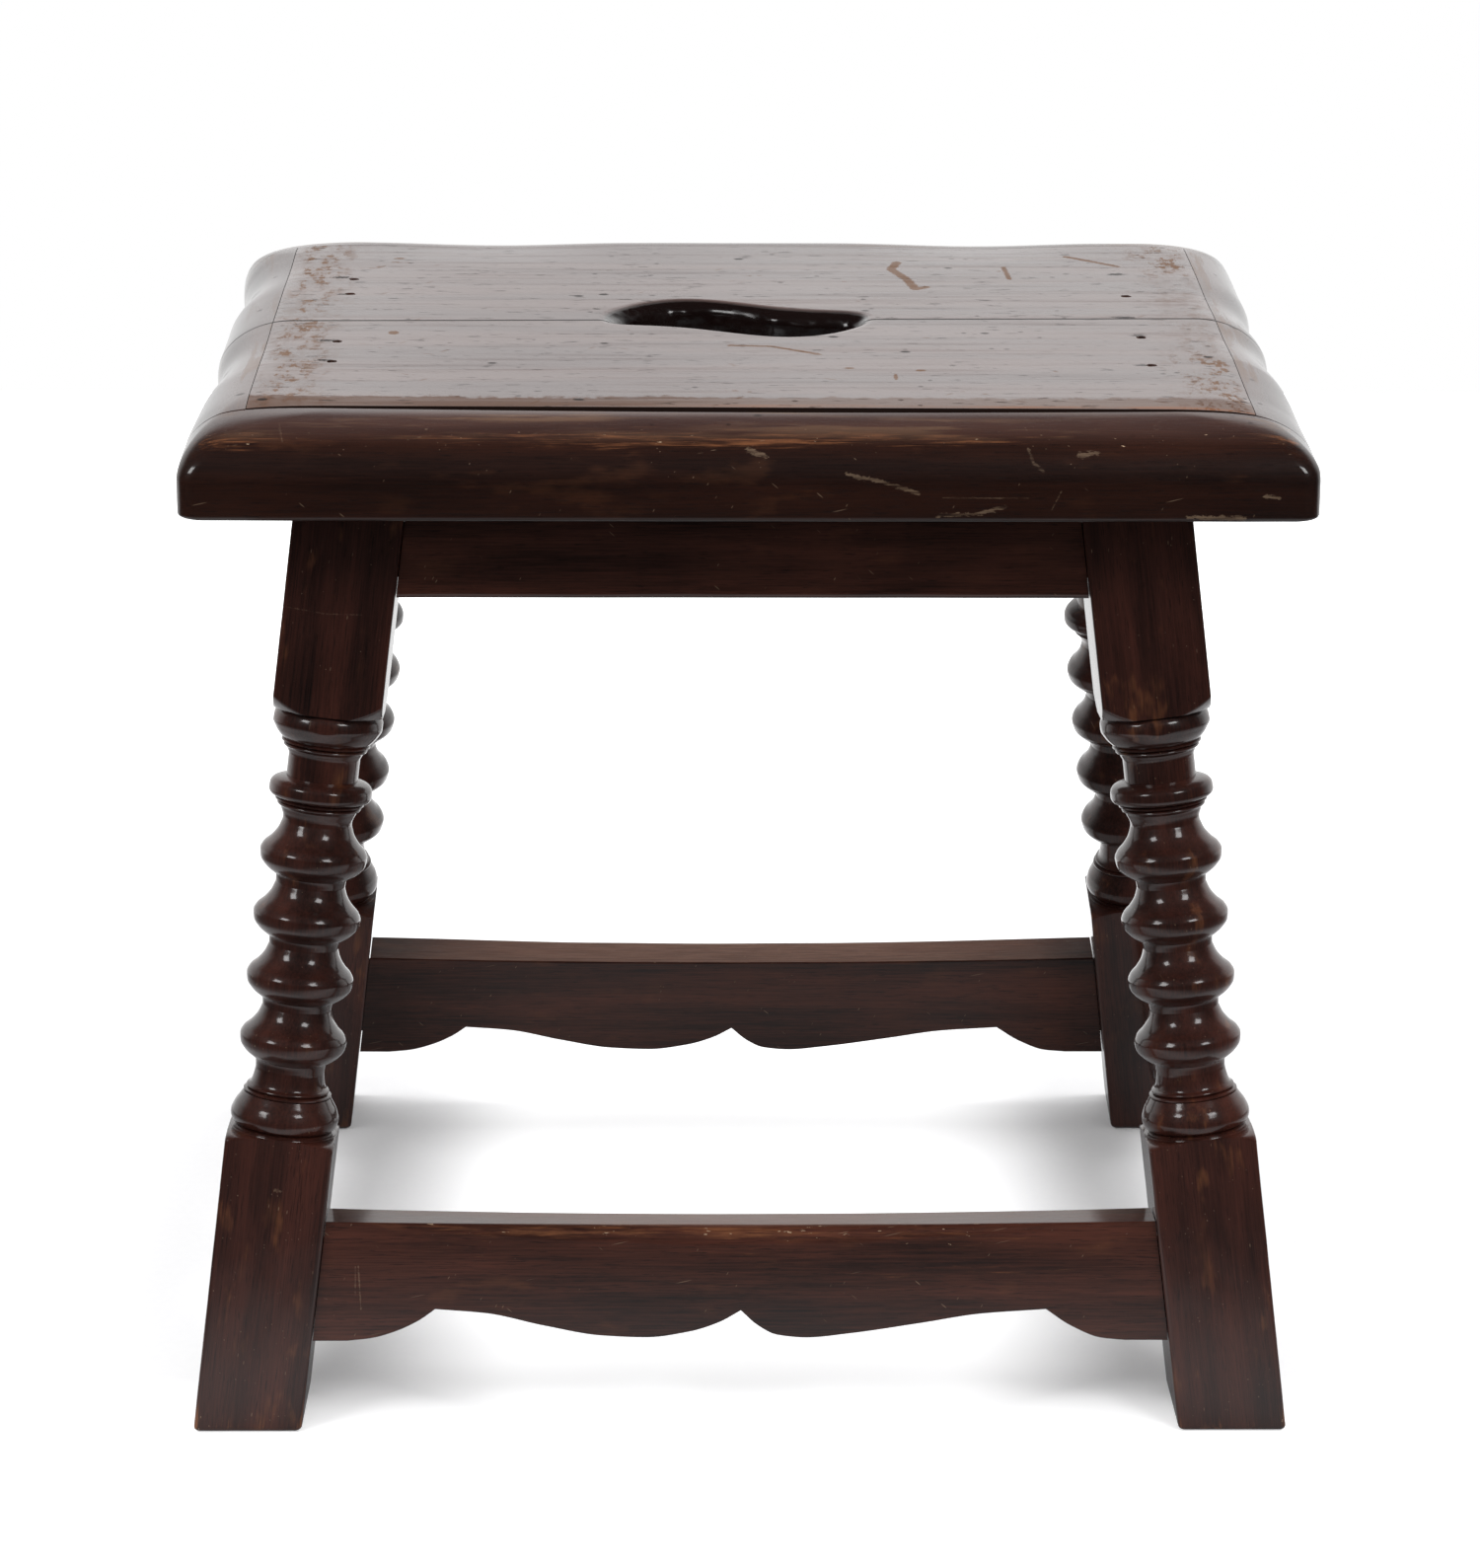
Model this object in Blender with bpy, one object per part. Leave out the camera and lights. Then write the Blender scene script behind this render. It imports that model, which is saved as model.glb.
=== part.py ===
"""A joined stool in the Jacobean manner: four splayed legs turned with bobbin rings, plain aprons,
stretchers with a cusped lower edge, and a thick round-edged seat with a curved hand-hold.

Metres, +Z up. The front faces -Y. The origin lies on the floor, under the middle of the stool.
"""

import math

import bmesh
import bpy
from mathutils import Matrix, Vector

# Whole stool
STOOL_HEIGHT = 0.432
JOINT_GAP = 0.0003
CUT_OVERRUN = 0.004

# Leg frame: how far the seat stands out past the tops of the legs, and how the legs lean in
OVERHANG_X = 0.0464
OVERHANG_Y = 0.0468
LEAN_PER_METRE_X = 0.122
LEAN_PER_METRE_Y = 0.1395

# Leg stock, measured along the leg axis from the floor
LEG_WIDTH = 0.045
FOOT_ROUNDING = 0.003
LOWER_BLOCK_TOP = 0.1200
UPPER_BLOCK_BOTTOM = 0.3068
SHOULDER_HEIGHT = 0.0038
QUIRK_DEPTH = 0.0020
QUIRK_HEIGHT = 0.0009

# Turned forms of the leg: radii, then heights along the axis
WAIST_RADIUS = 0.0144
NECK_RADIUS = 0.0148
RING_RADIUS = 0.0223
DISC_RADIUS = 0.0214
BEAD_RADIUS = 0.0184
CUP_RADIUS = 0.0230
BALL_RADIUS = 0.0226
BALL_BOTTOM = 0.1251
BALL_HEIGHT = 0.0140
BEAD_HEIGHT = 0.0017
COVE_HEIGHT = 0.0030
FIRST_RING = 0.1633
RING_PITCH = 0.0263
RING_COUNT = 4
DISC_BOTTOM = 0.2650
DISC_HEIGHT = 0.0088
CUP_BOTTOM = 0.2898
CUP_HEIGHT = 0.0122

# Profiles as shares: height in the form's own height, radius between the core and the full radius
RING_PROFILE_SHARES = (
    (-0.355, 0.13),
    (-0.240, 0.68),
    (-0.127, 0.94),
    (0.000, 1.00),
    (0.100, 0.86),
    (0.210, 0.50),
    (0.350, 0.18),
)
BALL_PROFILE_SHARES = ((0.00, 0.86), (0.10, 0.96), (0.33, 1.00), (0.62, 0.95), (0.84, 0.87), (1.00, 0.81))
CUP_PROFILE_SHARES = ((0.00, 0.78), (0.16, 0.865), (0.37, 0.94), (0.62, 1.00), (0.86, 0.975), (1.00, 0.935))
DISC_PROFILE_SHARES = ((0.00, 0.50), (0.14, 0.88), (0.34, 1.00), (0.56, 0.95), (0.90, 0.30))
COVE_HEIGHT_SHARE = 0.35
COVE_RADIUS_SHARE = 0.45
COLUMN_ANGLES = (-42.5, -21.0, 0.0, 21.0, 42.5)

# Rails: all measured square to their own leaning faces
APRON_THICKNESS = 0.020
APRON_HEIGHT = 0.0455
STRETCHER_THICKNESS = 0.022
STRETCHER_BOTTOM = 0.0360
STRETCHER_HEIGHT = 0.0515
REAR_STRETCHER_DROP = 0.0013
STRETCHER_WEAR = 0.0025
CUSP_RISE = 0.0137
RAIL_SETBACK = 0.0028
RAIL_ARRIS = 0.0012
TENON_THICKNESS = 0.008
TENON_LENGTH = 0.016
TENON_SHOULDER = 0.008
TENON_ROOT = 0.006

# Lower edge of a stretcher: place along half the clear span, rise as a share of the cusp's
CUSPED_EDGE_SHARES = (
    (-0.92, 0.00),
    (-0.865, 0.08),
    (-0.81, 0.29),
    (-0.755, 0.65),
    (-0.72, 1.00),
    (-0.60, 0.87),
    (-0.46, 0.47),
    (-0.325, 0.16),
    (-0.22, 0.10),
    (-0.12, 0.28),
    (-0.05, 0.58),
    (0.0, 0.95),
    (0.04, 0.48),
    (0.085, 0.18),
    (0.155, 0.09),
    (0.25, 0.21),
    (0.425, 0.55),
    (0.565, 0.84),
    (0.72, 0.98),
    (0.775, 0.46),
    (0.845, 0.07),
    (0.90, 0.00),
)

# Seat slab
SEAT_CENTRE_X = 0.0017
SEAT_LENGTH = 0.4545
SEAT_DEPTH = 0.360
SEAT_THICKNESS = 0.039
SEAT_BELLY = 0.015
SEAT_UNDER_ROUND = 0.0035
END_ROUND = 0.032
EDGE_ROUND = 0.036
CORNER_RADIUS = 0.009
CORNER_SOFTENING = 0.030
ROUND_STEPS = 5
CORNER_STEPS = 4
END_WAVE_STEPS = 14
END_WEAR = 0.0035
LEFT_WEAR_SHARES = (-0.22, 0.58)
RIGHT_WEAR_SHARES = (-0.12, 0.27)
WEAR_WIDTH_SHARE = 0.26

# Pieces of the seat: widths from its edges to the joints, and where the seam lies at either end
LEFT_END_WIDTH = 0.0262
RIGHT_END_WIDTH = 0.0242
FRONT_NOSING_WIDTH_LEFT = 0.0320
FRONT_NOSING_WIDTH_RIGHT = 0.0250
REAR_NOSING_WIDTH = 0.0290
SEAM_LEFT = 0.0010
SEAM_RIGHT = 0.0077
CRACK_WIDTH = 0.0012
TONGUE_THICKNESS = 0.006
TONGUE_WIDTH = 0.020
TONGUE_STOP = 0.016

# Hand-hold: an S-shaped slot on the seam
SLOT_CENTRE_X = -0.0030
SLOT_CENTRE_Y = 0.0085
SLOT_LENGTH = 0.110
SLOT_WIDTH = 0.052
SLOT_SWAY = 0.0088
SLOT_EDGE_ROUND = 0.004
SLOT_STEPS = 10
SLOT_CLEAR = 0.012

# Nails that hold the seat to the side aprons: places along half of the apron's clear length
NAIL_LENGTH = 0.056
NAIL_SUNK = 0.0012
NAIL_HEAD_RADIUS = 0.0030
NAIL_HEAD_HEIGHT = 0.0012
NAIL_SHANK_RADIUS = 0.0017
NAIL_TIP_RADIUS = 0.0006
NAIL_SIDES = 8
LEFT_NAIL_SHARES = (-0.815, -0.416, 0.593, 0.920)
RIGHT_NAIL_SHARES = (-0.867, -0.308, 0.570)

SEAT_UNDERSIDE = STOOL_HEIGHT - SEAT_THICKNESS
HALF_LEG = LEG_WIDTH / 2
FOOT_SPREAD_X = SEAT_LENGTH / 2 - OVERHANG_X - HALF_LEG + LEAN_PER_METRE_X * SEAT_UNDERSIDE
FOOT_SPREAD_Y = SEAT_DEPTH / 2 - OVERHANG_Y - HALF_LEG + LEAN_PER_METRE_Y * SEAT_UNDERSIDE
LEFT_JOINT = -SEAT_LENGTH / 2 + LEFT_END_WIDTH
RIGHT_JOINT = SEAT_LENGTH / 2 - RIGHT_END_WIDTH
REAR_JOINT = SEAT_DEPTH / 2 - REAR_NOSING_WIDTH

WALNUT_BROWN = (0.030, 0.011, 0.007)
TOP_BROWN = (0.055, 0.028, 0.018)
FRESH_OAK = (0.330, 0.190, 0.090)
OLD_IRON = (0.060, 0.050, 0.045)


def clear_scene():
    for obj in list(bpy.data.objects):
        bpy.data.objects.remove(obj, do_unlink=True)


def finish(name, colour, roughness, metallic=0.0):
    material = bpy.data.materials.new(name)
    material.use_nodes = True
    shader = material.node_tree.nodes["Principled BSDF"]
    shader.inputs["Base Color"].default_value = (*colour, 1.0)
    shader.inputs["Roughness"].default_value = roughness
    shader.inputs["Metallic"].default_value = metallic
    return material


def add_object(name, mesh, material=None):
    obj = bpy.data.objects.new(name, mesh)
    bpy.context.scene.collection.objects.link(obj)
    if material is not None:
        mesh.materials.clear()
        mesh.materials.append(material)
    return obj


def helper(name, mesh):
    """A cutter, left out of the finished stool."""
    obj = add_object(name, mesh)
    obj.hide_render = True
    obj.display_type = "WIRE"
    return obj


def combine(obj, other, operation):
    modifier = obj.modifiers.new(operation.lower(), "BOOLEAN")
    modifier.operation = operation
    modifier.solver = "EXACT"
    modifier.object = other


def lofted(name, loops):
    """A closed mesh through loops of as many points each, with a flat cap at either end."""
    bm = bmesh.new()
    rows = [[bm.verts.new(point) for point in loop] for loop in loops]
    count = len(rows[0])
    for low, high in zip(rows, rows[1:]):
        for i in range(count):
            j = (i + 1) % count
            bm.faces.new((low[i], low[j], high[j], high[i]))
    bm.faces.new(rows[0][::-1])
    bm.faces.new(rows[-1])
    bmesh.ops.recalc_face_normals(bm, faces=bm.faces)
    mesh = bpy.data.meshes.new(name)
    bm.to_mesh(mesh)
    bm.free()
    return mesh


def joined(name, meshes):
    """Several closed meshes kept as separate bodies in one mesh, for use as a cutter."""
    bm = bmesh.new()
    for mesh in meshes:
        bm.from_mesh(mesh)
        bpy.data.meshes.remove(mesh)
    result = bpy.data.meshes.new(name)
    bm.to_mesh(result)
    bm.free()
    return result


def prism(name, outline, bottom, top):
    """An upright prism on a plan outline."""
    return lofted(name, [[(x, y, z) for x, y in outline] for z in (bottom, top)])


def smooth_shaded(mesh, angle):
    mesh.shade_smooth()
    mesh.set_sharp_from_angle(angle=math.radians(angle))


def mix(first, second, share):
    return first + (second - first) * share


class LegFrame:
    """Where one leg stands: side_x is -1 at the left, side_y is -1 at the front."""

    def __init__(self, side_x, side_y):
        self.side_x = side_x
        self.side_y = side_y
        self.foot = Vector((side_x * FOOT_SPREAD_X, side_y * FOOT_SPREAD_Y, 0))
        self.axis = Vector((-side_x * LEAN_PER_METRE_X, -side_y * LEAN_PER_METRE_Y, 1)).normalized()
        self.across = (Vector((1, 0, 0)) - self.axis * self.axis.x).normalized()
        self.back = self.axis.cross(self.across)

    def matrix(self):
        columns = Matrix((self.across, self.back, self.axis)).transposed()
        return Matrix.Translation(self.foot) @ columns.to_4x4()

    def height_at_level(self, level, x, y):
        """How far along the axis the point at (x, y) of the section reaches a level above the floor."""
        return (level - x * self.across.z - y * self.back.z) / self.axis.z


def leg_frames():
    return {
        ("front" if side_y < 0 else "rear", "left" if side_x < 0 else "right"): LegFrame(side_x, side_y)
        for side_y in (-1, 1)
        for side_x in (-1, 1)
    }


def shoulder_rows(corner, direction):
    """The turned shoulder that rounds a block's corners away towards its end."""
    corner_radius = HALF_LEG * math.sqrt(2)
    rim = HALF_LEG - JOINT_GAP
    rows = []
    for angle in (0, 50, 90):
        turn = math.radians(angle)
        height = corner + direction * SHOULDER_HEIGHT * math.sin(turn)
        rows.append((height, mix(rim, corner_radius, math.cos(turn))))
    return rows


def quirk_rows(height, direction):
    radius = HALF_LEG - QUIRK_DEPTH
    return [(height + direction * QUIRK_HEIGHT / 2, radius), (height + direction * QUIRK_HEIGHT, radius)]


def solid_form_rows(bottom, height, radius, shares):
    return [(bottom + height * at, radius * share) for at, share in shares]


def cove_row(bead_edge, direction, core):
    """The hollow that runs from a bead into a waist or a neck."""
    height = bead_edge + direction * COVE_HEIGHT * COVE_HEIGHT_SHARE
    return height, mix(core, BEAD_RADIUS, COVE_RADIUS_SHARE)


def ring_rows(centre):
    return [
        (centre + RING_PITCH * at, mix(WAIST_RADIUS, RING_RADIUS, share)) for at, share in RING_PROFILE_SHARES
    ]


def turned_rows():
    """Height along the axis and radius, from the lower block's shoulder to the upper block's."""
    last_ring = FIRST_RING + RING_PITCH * (RING_COUNT - 1)
    bead_foot = BALL_BOTTOM + BALL_HEIGHT
    rows = shoulder_rows(LOWER_BLOCK_TOP, 1)
    rows += quirk_rows(rows[-1][0], 1)
    rows += solid_form_rows(BALL_BOTTOM, BALL_HEIGHT, BALL_RADIUS, BALL_PROFILE_SHARES)
    rows.append((bead_foot + BEAD_HEIGHT, BEAD_RADIUS))
    rows.append(cove_row(bead_foot + BEAD_HEIGHT, 1, WAIST_RADIUS))
    for ring in range(RING_COUNT):
        centre = FIRST_RING + RING_PITCH * ring
        rows.append((centre - RING_PITCH / 2, WAIST_RADIUS))
        rows += ring_rows(centre)
    rows.append((last_ring + RING_PITCH / 2, WAIST_RADIUS))
    rows.append(cove_row(DISC_BOTTOM - BEAD_HEIGHT, -1, WAIST_RADIUS))
    rows.append((DISC_BOTTOM - BEAD_HEIGHT, BEAD_RADIUS))
    rows += [
        (DISC_BOTTOM + DISC_HEIGHT * at, mix(NECK_RADIUS, DISC_RADIUS, share))
        for at, share in DISC_PROFILE_SHARES
    ]
    rows.append((DISC_BOTTOM + DISC_HEIGHT, NECK_RADIUS))
    rows.append((CUP_BOTTOM - BEAD_HEIGHT - COVE_HEIGHT, NECK_RADIUS))
    rows.append(cove_row(CUP_BOTTOM - BEAD_HEIGHT, -1, NECK_RADIUS))
    rows.append((CUP_BOTTOM - BEAD_HEIGHT, BEAD_RADIUS))
    rows += solid_form_rows(CUP_BOTTOM, CUP_HEIGHT, CUP_RADIUS, CUP_PROFILE_SHARES)
    upper = shoulder_rows(UPPER_BLOCK_BOTTOM, -1)
    rows += quirk_rows(upper[-1][0], -1)[::-1]
    rows += upper[::-1]
    return rows


def section_columns(half):
    """Angle and reach of each point round a square section whose arrises are slightly eased."""
    for quarter in range(4):
        for angle in COLUMN_ANGLES:
            reach = half / math.cos(math.radians(angle))
            yield math.radians(angle + quarter * 90), reach


def leg_mesh(name, frame):
    loops = []

    def add_row(half, limit, height_of):
        loop = []
        for angle, reach in section_columns(half):
            radius = reach if limit is None else min(reach, limit)
            x = radius * math.cos(angle)
            y = radius * math.sin(angle)
            loop.append((x, y, height_of(x, y)))
        loops.append(loop)

    for angle in (0, 45, 90):
        turn = math.radians(angle)
        inset = FOOT_ROUNDING * (1 - math.sin(turn))
        lift = FOOT_ROUNDING * (1 - math.cos(turn))
        add_row(HALF_LEG - inset, None, lambda x, y: frame.height_at_level(0, x, y) + lift)
    for height, limit in turned_rows():
        add_row(HALF_LEG, limit, lambda x, y: height)
    top = SEAT_UNDERSIDE - JOINT_GAP
    add_row(HALF_LEG, None, lambda x, y: frame.height_at_level(top, x, y))
    mesh = lofted(name, loops)
    smooth_shaded(mesh, 35)
    return mesh


class RailFrame:
    """A rail's own axes: along it, through its thickness, and up its leaning face.

    side is -1 for the front or the left rail; along_x tells front and rear rails from side rails.
    """

    def __init__(self, side, along_x, thickness):
        self.side = side
        self.along_x = along_x
        self.thickness = thickness
        spread = FOOT_SPREAD_Y if along_x else FOOT_SPREAD_X
        lean = LEAN_PER_METRE_Y if along_x else LEAN_PER_METRE_X
        self.end_spread = FOOT_SPREAD_X if along_x else FOOT_SPREAD_Y
        self.end_lean = LEAN_PER_METRE_X if along_x else LEAN_PER_METRE_Y
        inward = Vector((0, -side, 0)) if along_x else Vector((-side, 0, 0))
        self.along = Vector((1, 0, 0)) if along_x else Vector((0, 1, 0))
        self.up = (inward * lean + Vector((0, 0, 1))).normalized()
        self.through = self.up.cross(self.along)
        outward = self.through if self.through.dot(inward) < 0 else -self.through
        offset = HALF_LEG - RAIL_SETBACK - thickness / 2
        self.origin = outward * offset - inward * spread
        self.outward_sign = 1 if outward == self.through else -1

    def matrix(self):
        columns = Matrix((self.along, self.through, self.up)).transposed()
        return Matrix.Translation(self.origin) @ columns.to_4x4()

    def height_at_level(self, level, through):
        return (level - self.origin.z - through * self.through.z) / self.up.z

    def shoulder(self, height):
        """Half the clear length between the legs at a height up the rail's face."""
        level = self.origin.z + height * self.up.z
        return self.end_spread - self.end_lean * level - HALF_LEG * math.hypot(1, self.end_lean)


def rail_section(frame, bottom, top_of):
    """Eight points round the rail: an arris is taken off each corner."""
    half = frame.thickness / 2
    ease = RAIL_ARRIS
    return [
        (-half, bottom + ease),
        (-half + ease, bottom),
        (half - ease, bottom),
        (half, bottom + ease),
        (half, top_of(half) - ease),
        (half - ease, top_of(half - ease)),
        (-half + ease, top_of(-half + ease)),
        (-half, top_of(-half) - ease),
    ]


def tenon_block(name, frame, bottom, top, end, clearance):
    """A tenon at one end of a rail, its end sloped as the leg is, or its mortise when it has clearance."""
    half = TENON_THICKNESS / 2 + clearance
    root = TENON_ROOT if clearance == 0 else -clearance
    loops = []
    for height in (bottom - clearance, top + clearance):
        near = end * (frame.shoulder(height) - root)
        far = end * (frame.shoulder(height) + TENON_LENGTH + clearance)
        if clearance:
            near = end * (frame.shoulder(height) - CUT_OVERRUN)
        loops.append([(near, -half, height), (far, -half, height), (far, half, height), (near, half, height)])
    mesh = lofted(name, loops)
    mesh.transform(frame.matrix())
    return mesh


def rail_blank(name, frame, edge, top_of, reach):
    """The rail before its ends are cut: edge lists places along it and the lower edge's height there."""
    stations = [(-reach, edge[0][1])] + list(edge) + [(reach, edge[-1][1])]
    loops = []
    for place, bottom in stations:
        section = rail_section(frame, bottom, lambda y, place=place: top_of(place, y))
        loops.append([(place, y, z) for y, z in section])
    mesh = lofted(name, loops)
    mesh.transform(frame.matrix())
    return mesh


def leg_envelope(name, frames):
    """Square prisms that stand a joint's gap outside each leg's blocks."""
    half = HALF_LEG + JOINT_GAP
    corners = ((-half, -half), (half, -half), (half, half), (-half, half))
    meshes = []
    for frame in frames.values():
        loops = [[(x, y, z) for x, y in corners] for z in (-LEG_WIDTH, STOOL_HEIGHT)]
        mesh = lofted("envelope_of_a_leg", loops)
        mesh.transform(frame.matrix())
        meshes.append(mesh)
    return helper(name, joined(name, meshes))


def apron_parts(frame):
    level = SEAT_UNDERSIDE - JOINT_GAP
    top_line = frame.height_at_level(level, 0)
    bottom = top_line - APRON_HEIGHT
    span = frame.shoulder(bottom)
    edge = [(-span / 2, bottom), (span / 2, bottom)]

    def top_of(place, through):
        return frame.height_at_level(level, through)

    return edge, top_of, bottom + TENON_SHOULDER, top_line - 2 * TENON_SHOULDER


def stretcher_parts(frame, drop):
    bottom = STRETCHER_BOTTOM - drop
    top = bottom + STRETCHER_HEIGHT
    span = frame.shoulder(bottom)
    edge = [(span * at, bottom + CUSP_RISE * rise) for at, rise in CUSPED_EDGE_SHARES]

    def top_of(place, through):
        return top - STRETCHER_WEAR * max(0, 1 - (place / span) ** 2)

    tenon_bottom = bottom + TENON_SHOULDER
    return edge, top_of, tenon_bottom, top - TENON_SHOULDER


def side_name(side, along_x):
    if along_x:
        return "front" if side < 0 else "rear"
    return "left" if side < 0 else "right"


def build_rails(envelope, material):
    """Every apron and stretcher, and the mortises that their tenons need, in one list of meshes."""
    mortises = []
    rails = []
    for kind, thickness in (("apron", APRON_THICKNESS), ("stretcher", STRETCHER_THICKNESS)):
        for along_x in (True, False):
            for side in (-1, 1):
                frame = RailFrame(side, along_x, thickness)
                name = f"{side_name(side, along_x)}_{kind}"
                if kind == "apron":
                    edge, top_of, low, high = apron_parts(frame)
                else:
                    drop = REAR_STRETCHER_DROP if name.startswith("rear") else 0
                    edge, top_of, low, high = stretcher_parts(frame, drop)
                reach = frame.shoulder(low) + HALF_LEG
                rail = add_object(name, rail_blank(name, frame, edge, top_of, reach), material)
                combine(rail, envelope, "DIFFERENCE")
                tenons = [tenon_block("tenon", frame, low, high, end, 0) for end in (-1, 1)]
                combine(rail, helper(f"{name}_tenons", joined("tenons", tenons)), "UNION")
                mortises += [
                    tenon_block("mortise", frame, low, high, end, JOINT_GAP) for end in (-1, 1)
                ]
                rails.append(rail)
    return rails, helper("mortises", joined("mortises", mortises))


def build_legs(frames, mortises, material):
    for (row, side), frame in frames.items():
        name = f"{row}_{side}_leg"
        leg = add_object(name, leg_mesh(name, frame), material)
        leg.matrix_world = frame.matrix()
        combine(leg, mortises, "DIFFERENCE")


def end_wear(side, y):
    """How far an end of the seat is rubbed hollow at a place along its depth."""
    places = LEFT_WEAR_SHARES if side < 0 else RIGHT_WEAR_SHARES
    half = SEAT_DEPTH / 2
    worn = 0
    for place in places:
        away = abs(y - place * half) / (WEAR_WIDTH_SHARE * half)
        if away < 1:
            worn += END_WEAR * (0.5 + 0.5 * math.cos(math.pi * away))
    return worn


def seat_outline(inset_x, inset_y):
    """One level of the slab in plan: a rectangle with round corners and slightly worn ends."""
    half_x = SEAT_LENGTH / 2 - inset_x
    half_y = SEAT_DEPTH / 2 - inset_y
    softened = inset_x / END_ROUND
    radius = CORNER_RADIUS + CORNER_SOFTENING * softened
    points = []
    for corner, (sign_x, sign_y) in enumerate(((1, 1), (-1, 1), (-1, -1), (1, -1))):
        centre_x = sign_x * (half_x - radius)
        centre_y = sign_y * (half_y - radius)
        for step in range(CORNER_STEPS + 1):
            angle = math.radians(90 * (corner + step / CORNER_STEPS))
            points.append((centre_x + radius * math.cos(angle), centre_y + radius * math.sin(angle)))
        if sign_x == sign_y:
            continue
        last = points[-1][1]
        for step in range(1, END_WAVE_STEPS):
            points.append((points[-1][0], mix(last, -last, step / END_WAVE_STEPS)))
    return [(x - math.copysign(end_wear(x, y), x), y) for x, y in points]


def seat_levels():
    """Height above the underside with the inset at the ends and at the long edges."""
    levels = []
    for angle in (0, 45, 90):
        turn = math.radians(angle)
        inset = SEAT_UNDER_ROUND * (1 - math.sin(turn))
        levels.append((SEAT_UNDER_ROUND * (1 - math.cos(turn)), inset, inset))
    rise = SEAT_THICKNESS - SEAT_BELLY
    for step in range(ROUND_STEPS + 1):
        turn = math.pi / 2 * step / ROUND_STEPS
        inset = 1 - math.cos(turn)
        levels.append((SEAT_BELLY + rise * math.sin(turn), END_ROUND * inset, EDGE_ROUND * inset))
    return levels


def slab_mesh():
    loops = []
    for height, inset_x, inset_y in seat_levels():
        outline = seat_outline(inset_x, inset_y)
        loops.append([(SEAT_CENTRE_X + x, y, SEAT_UNDERSIDE + height) for x, y in outline])
    mesh = lofted("seat_slab", loops)
    smooth_shaded(mesh, 30)
    return mesh


def front_joint(x):
    share = (x - LEFT_JOINT) / (RIGHT_JOINT - LEFT_JOINT)
    return mix(FRONT_NOSING_WIDTH_LEFT, FRONT_NOSING_WIDTH_RIGHT, share) - SEAT_DEPTH / 2


def seam(x):
    share = (x - LEFT_JOINT) / (RIGHT_JOINT - LEFT_JOINT)
    return mix(SEAM_LEFT, SEAM_RIGHT, share)


def seat_plans():
    """Plan outline of each piece of the seat, from the middle of the slab."""
    far_x = SEAT_LENGTH
    far_y = SEAT_DEPTH
    gap = JOINT_GAP / 2
    left = LEFT_JOINT
    right = RIGHT_JOINT
    inner = (left + gap, right - gap)
    plans = {
        "front_nosing": (
            (-far_x, -far_y),
            (far_x, -far_y),
            (far_x, front_joint(far_x) - gap),
            (right, front_joint(right) - gap),
            (0, front_joint(0) - CRACK_WIDTH),
            (left, front_joint(left) - gap),
            (-far_x, front_joint(-far_x) - gap),
        ),
        "rear_nosing": (
            (-far_x, REAR_JOINT + gap),
            (far_x, REAR_JOINT + gap),
            (far_x, far_y),
            (-far_x, far_y),
        ),
        "front_seat_board": (
            (inner[0], front_joint(inner[0]) + gap),
            (inner[1], front_joint(inner[1]) + gap),
            (inner[1], seam(inner[1]) - gap),
            (inner[0], seam(inner[0]) - gap),
        ),
        "rear_seat_board": (
            (inner[0], seam(inner[0]) + gap),
            (inner[1], seam(inner[1]) + gap),
            (inner[1], REAR_JOINT - gap),
            (inner[0], REAR_JOINT - gap),
        ),
    }
    for side, near, far in (("left", left - gap, -far_x), ("right", right + gap, far_x)):
        plans[f"{side}_front_end_piece"] = (
            (near, front_joint(near) + gap),
            (near, seam(near) - gap),
            (far, seam(near) - gap),
            (far, front_joint(far) + gap),
        )
        plans[f"{side}_rear_end_piece"] = (
            (near, seam(near) + gap),
            (near, REAR_JOINT - gap),
            (far, REAR_JOINT - gap),
            (far, seam(near) + gap),
        )
    return plans


def strip(start, end, width, grow):
    """A narrow plan outline along a joint, between two points of it."""
    along = (Vector(end) - Vector(start)).normalized()
    across = Vector((-along.y, along.x)) * (width / 2 + grow)
    first = Vector(start) - along * grow
    last = Vector(end) + along * grow
    return [tuple(point) for point in (first - across, last - across, last + across, first + across)]


def tongue_lines():
    """The loose tongues inside the seat's joints: name, first point and last point."""
    stop = TONGUE_STOP + TONGUE_WIDTH / 2
    left = LEFT_JOINT
    right = RIGHT_JOINT
    slot_half = SLOT_LENGTH / 2 + SLOT_CLEAR
    slot_left = SLOT_CENTRE_X - slot_half
    slot_right = SLOT_CENTRE_X + slot_half
    lines = {
        "front_nosing_tongue": ((left, front_joint(left)), (right, front_joint(right))),
        "rear_nosing_tongue": ((left, REAR_JOINT), (right, REAR_JOINT)),
        "left_seam_tongue": ((left + stop, seam(left + stop)), (slot_left, seam(slot_left))),
        "right_seam_tongue": ((slot_right, seam(slot_right)), (right - stop, seam(right - stop))),
    }
    for side, x in (("left", left), ("right", right)):
        lines[f"{side}_front_end_tongue"] = ((x, front_joint(x) + stop), (x, seam(x) - TONGUE_STOP))
        lines[f"{side}_rear_end_tongue"] = ((x, seam(x) + TONGUE_STOP), (x, REAR_JOINT - stop))
    return lines


def placed(outline):
    return [(SEAT_CENTRE_X + x, y) for x, y in outline]


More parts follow.
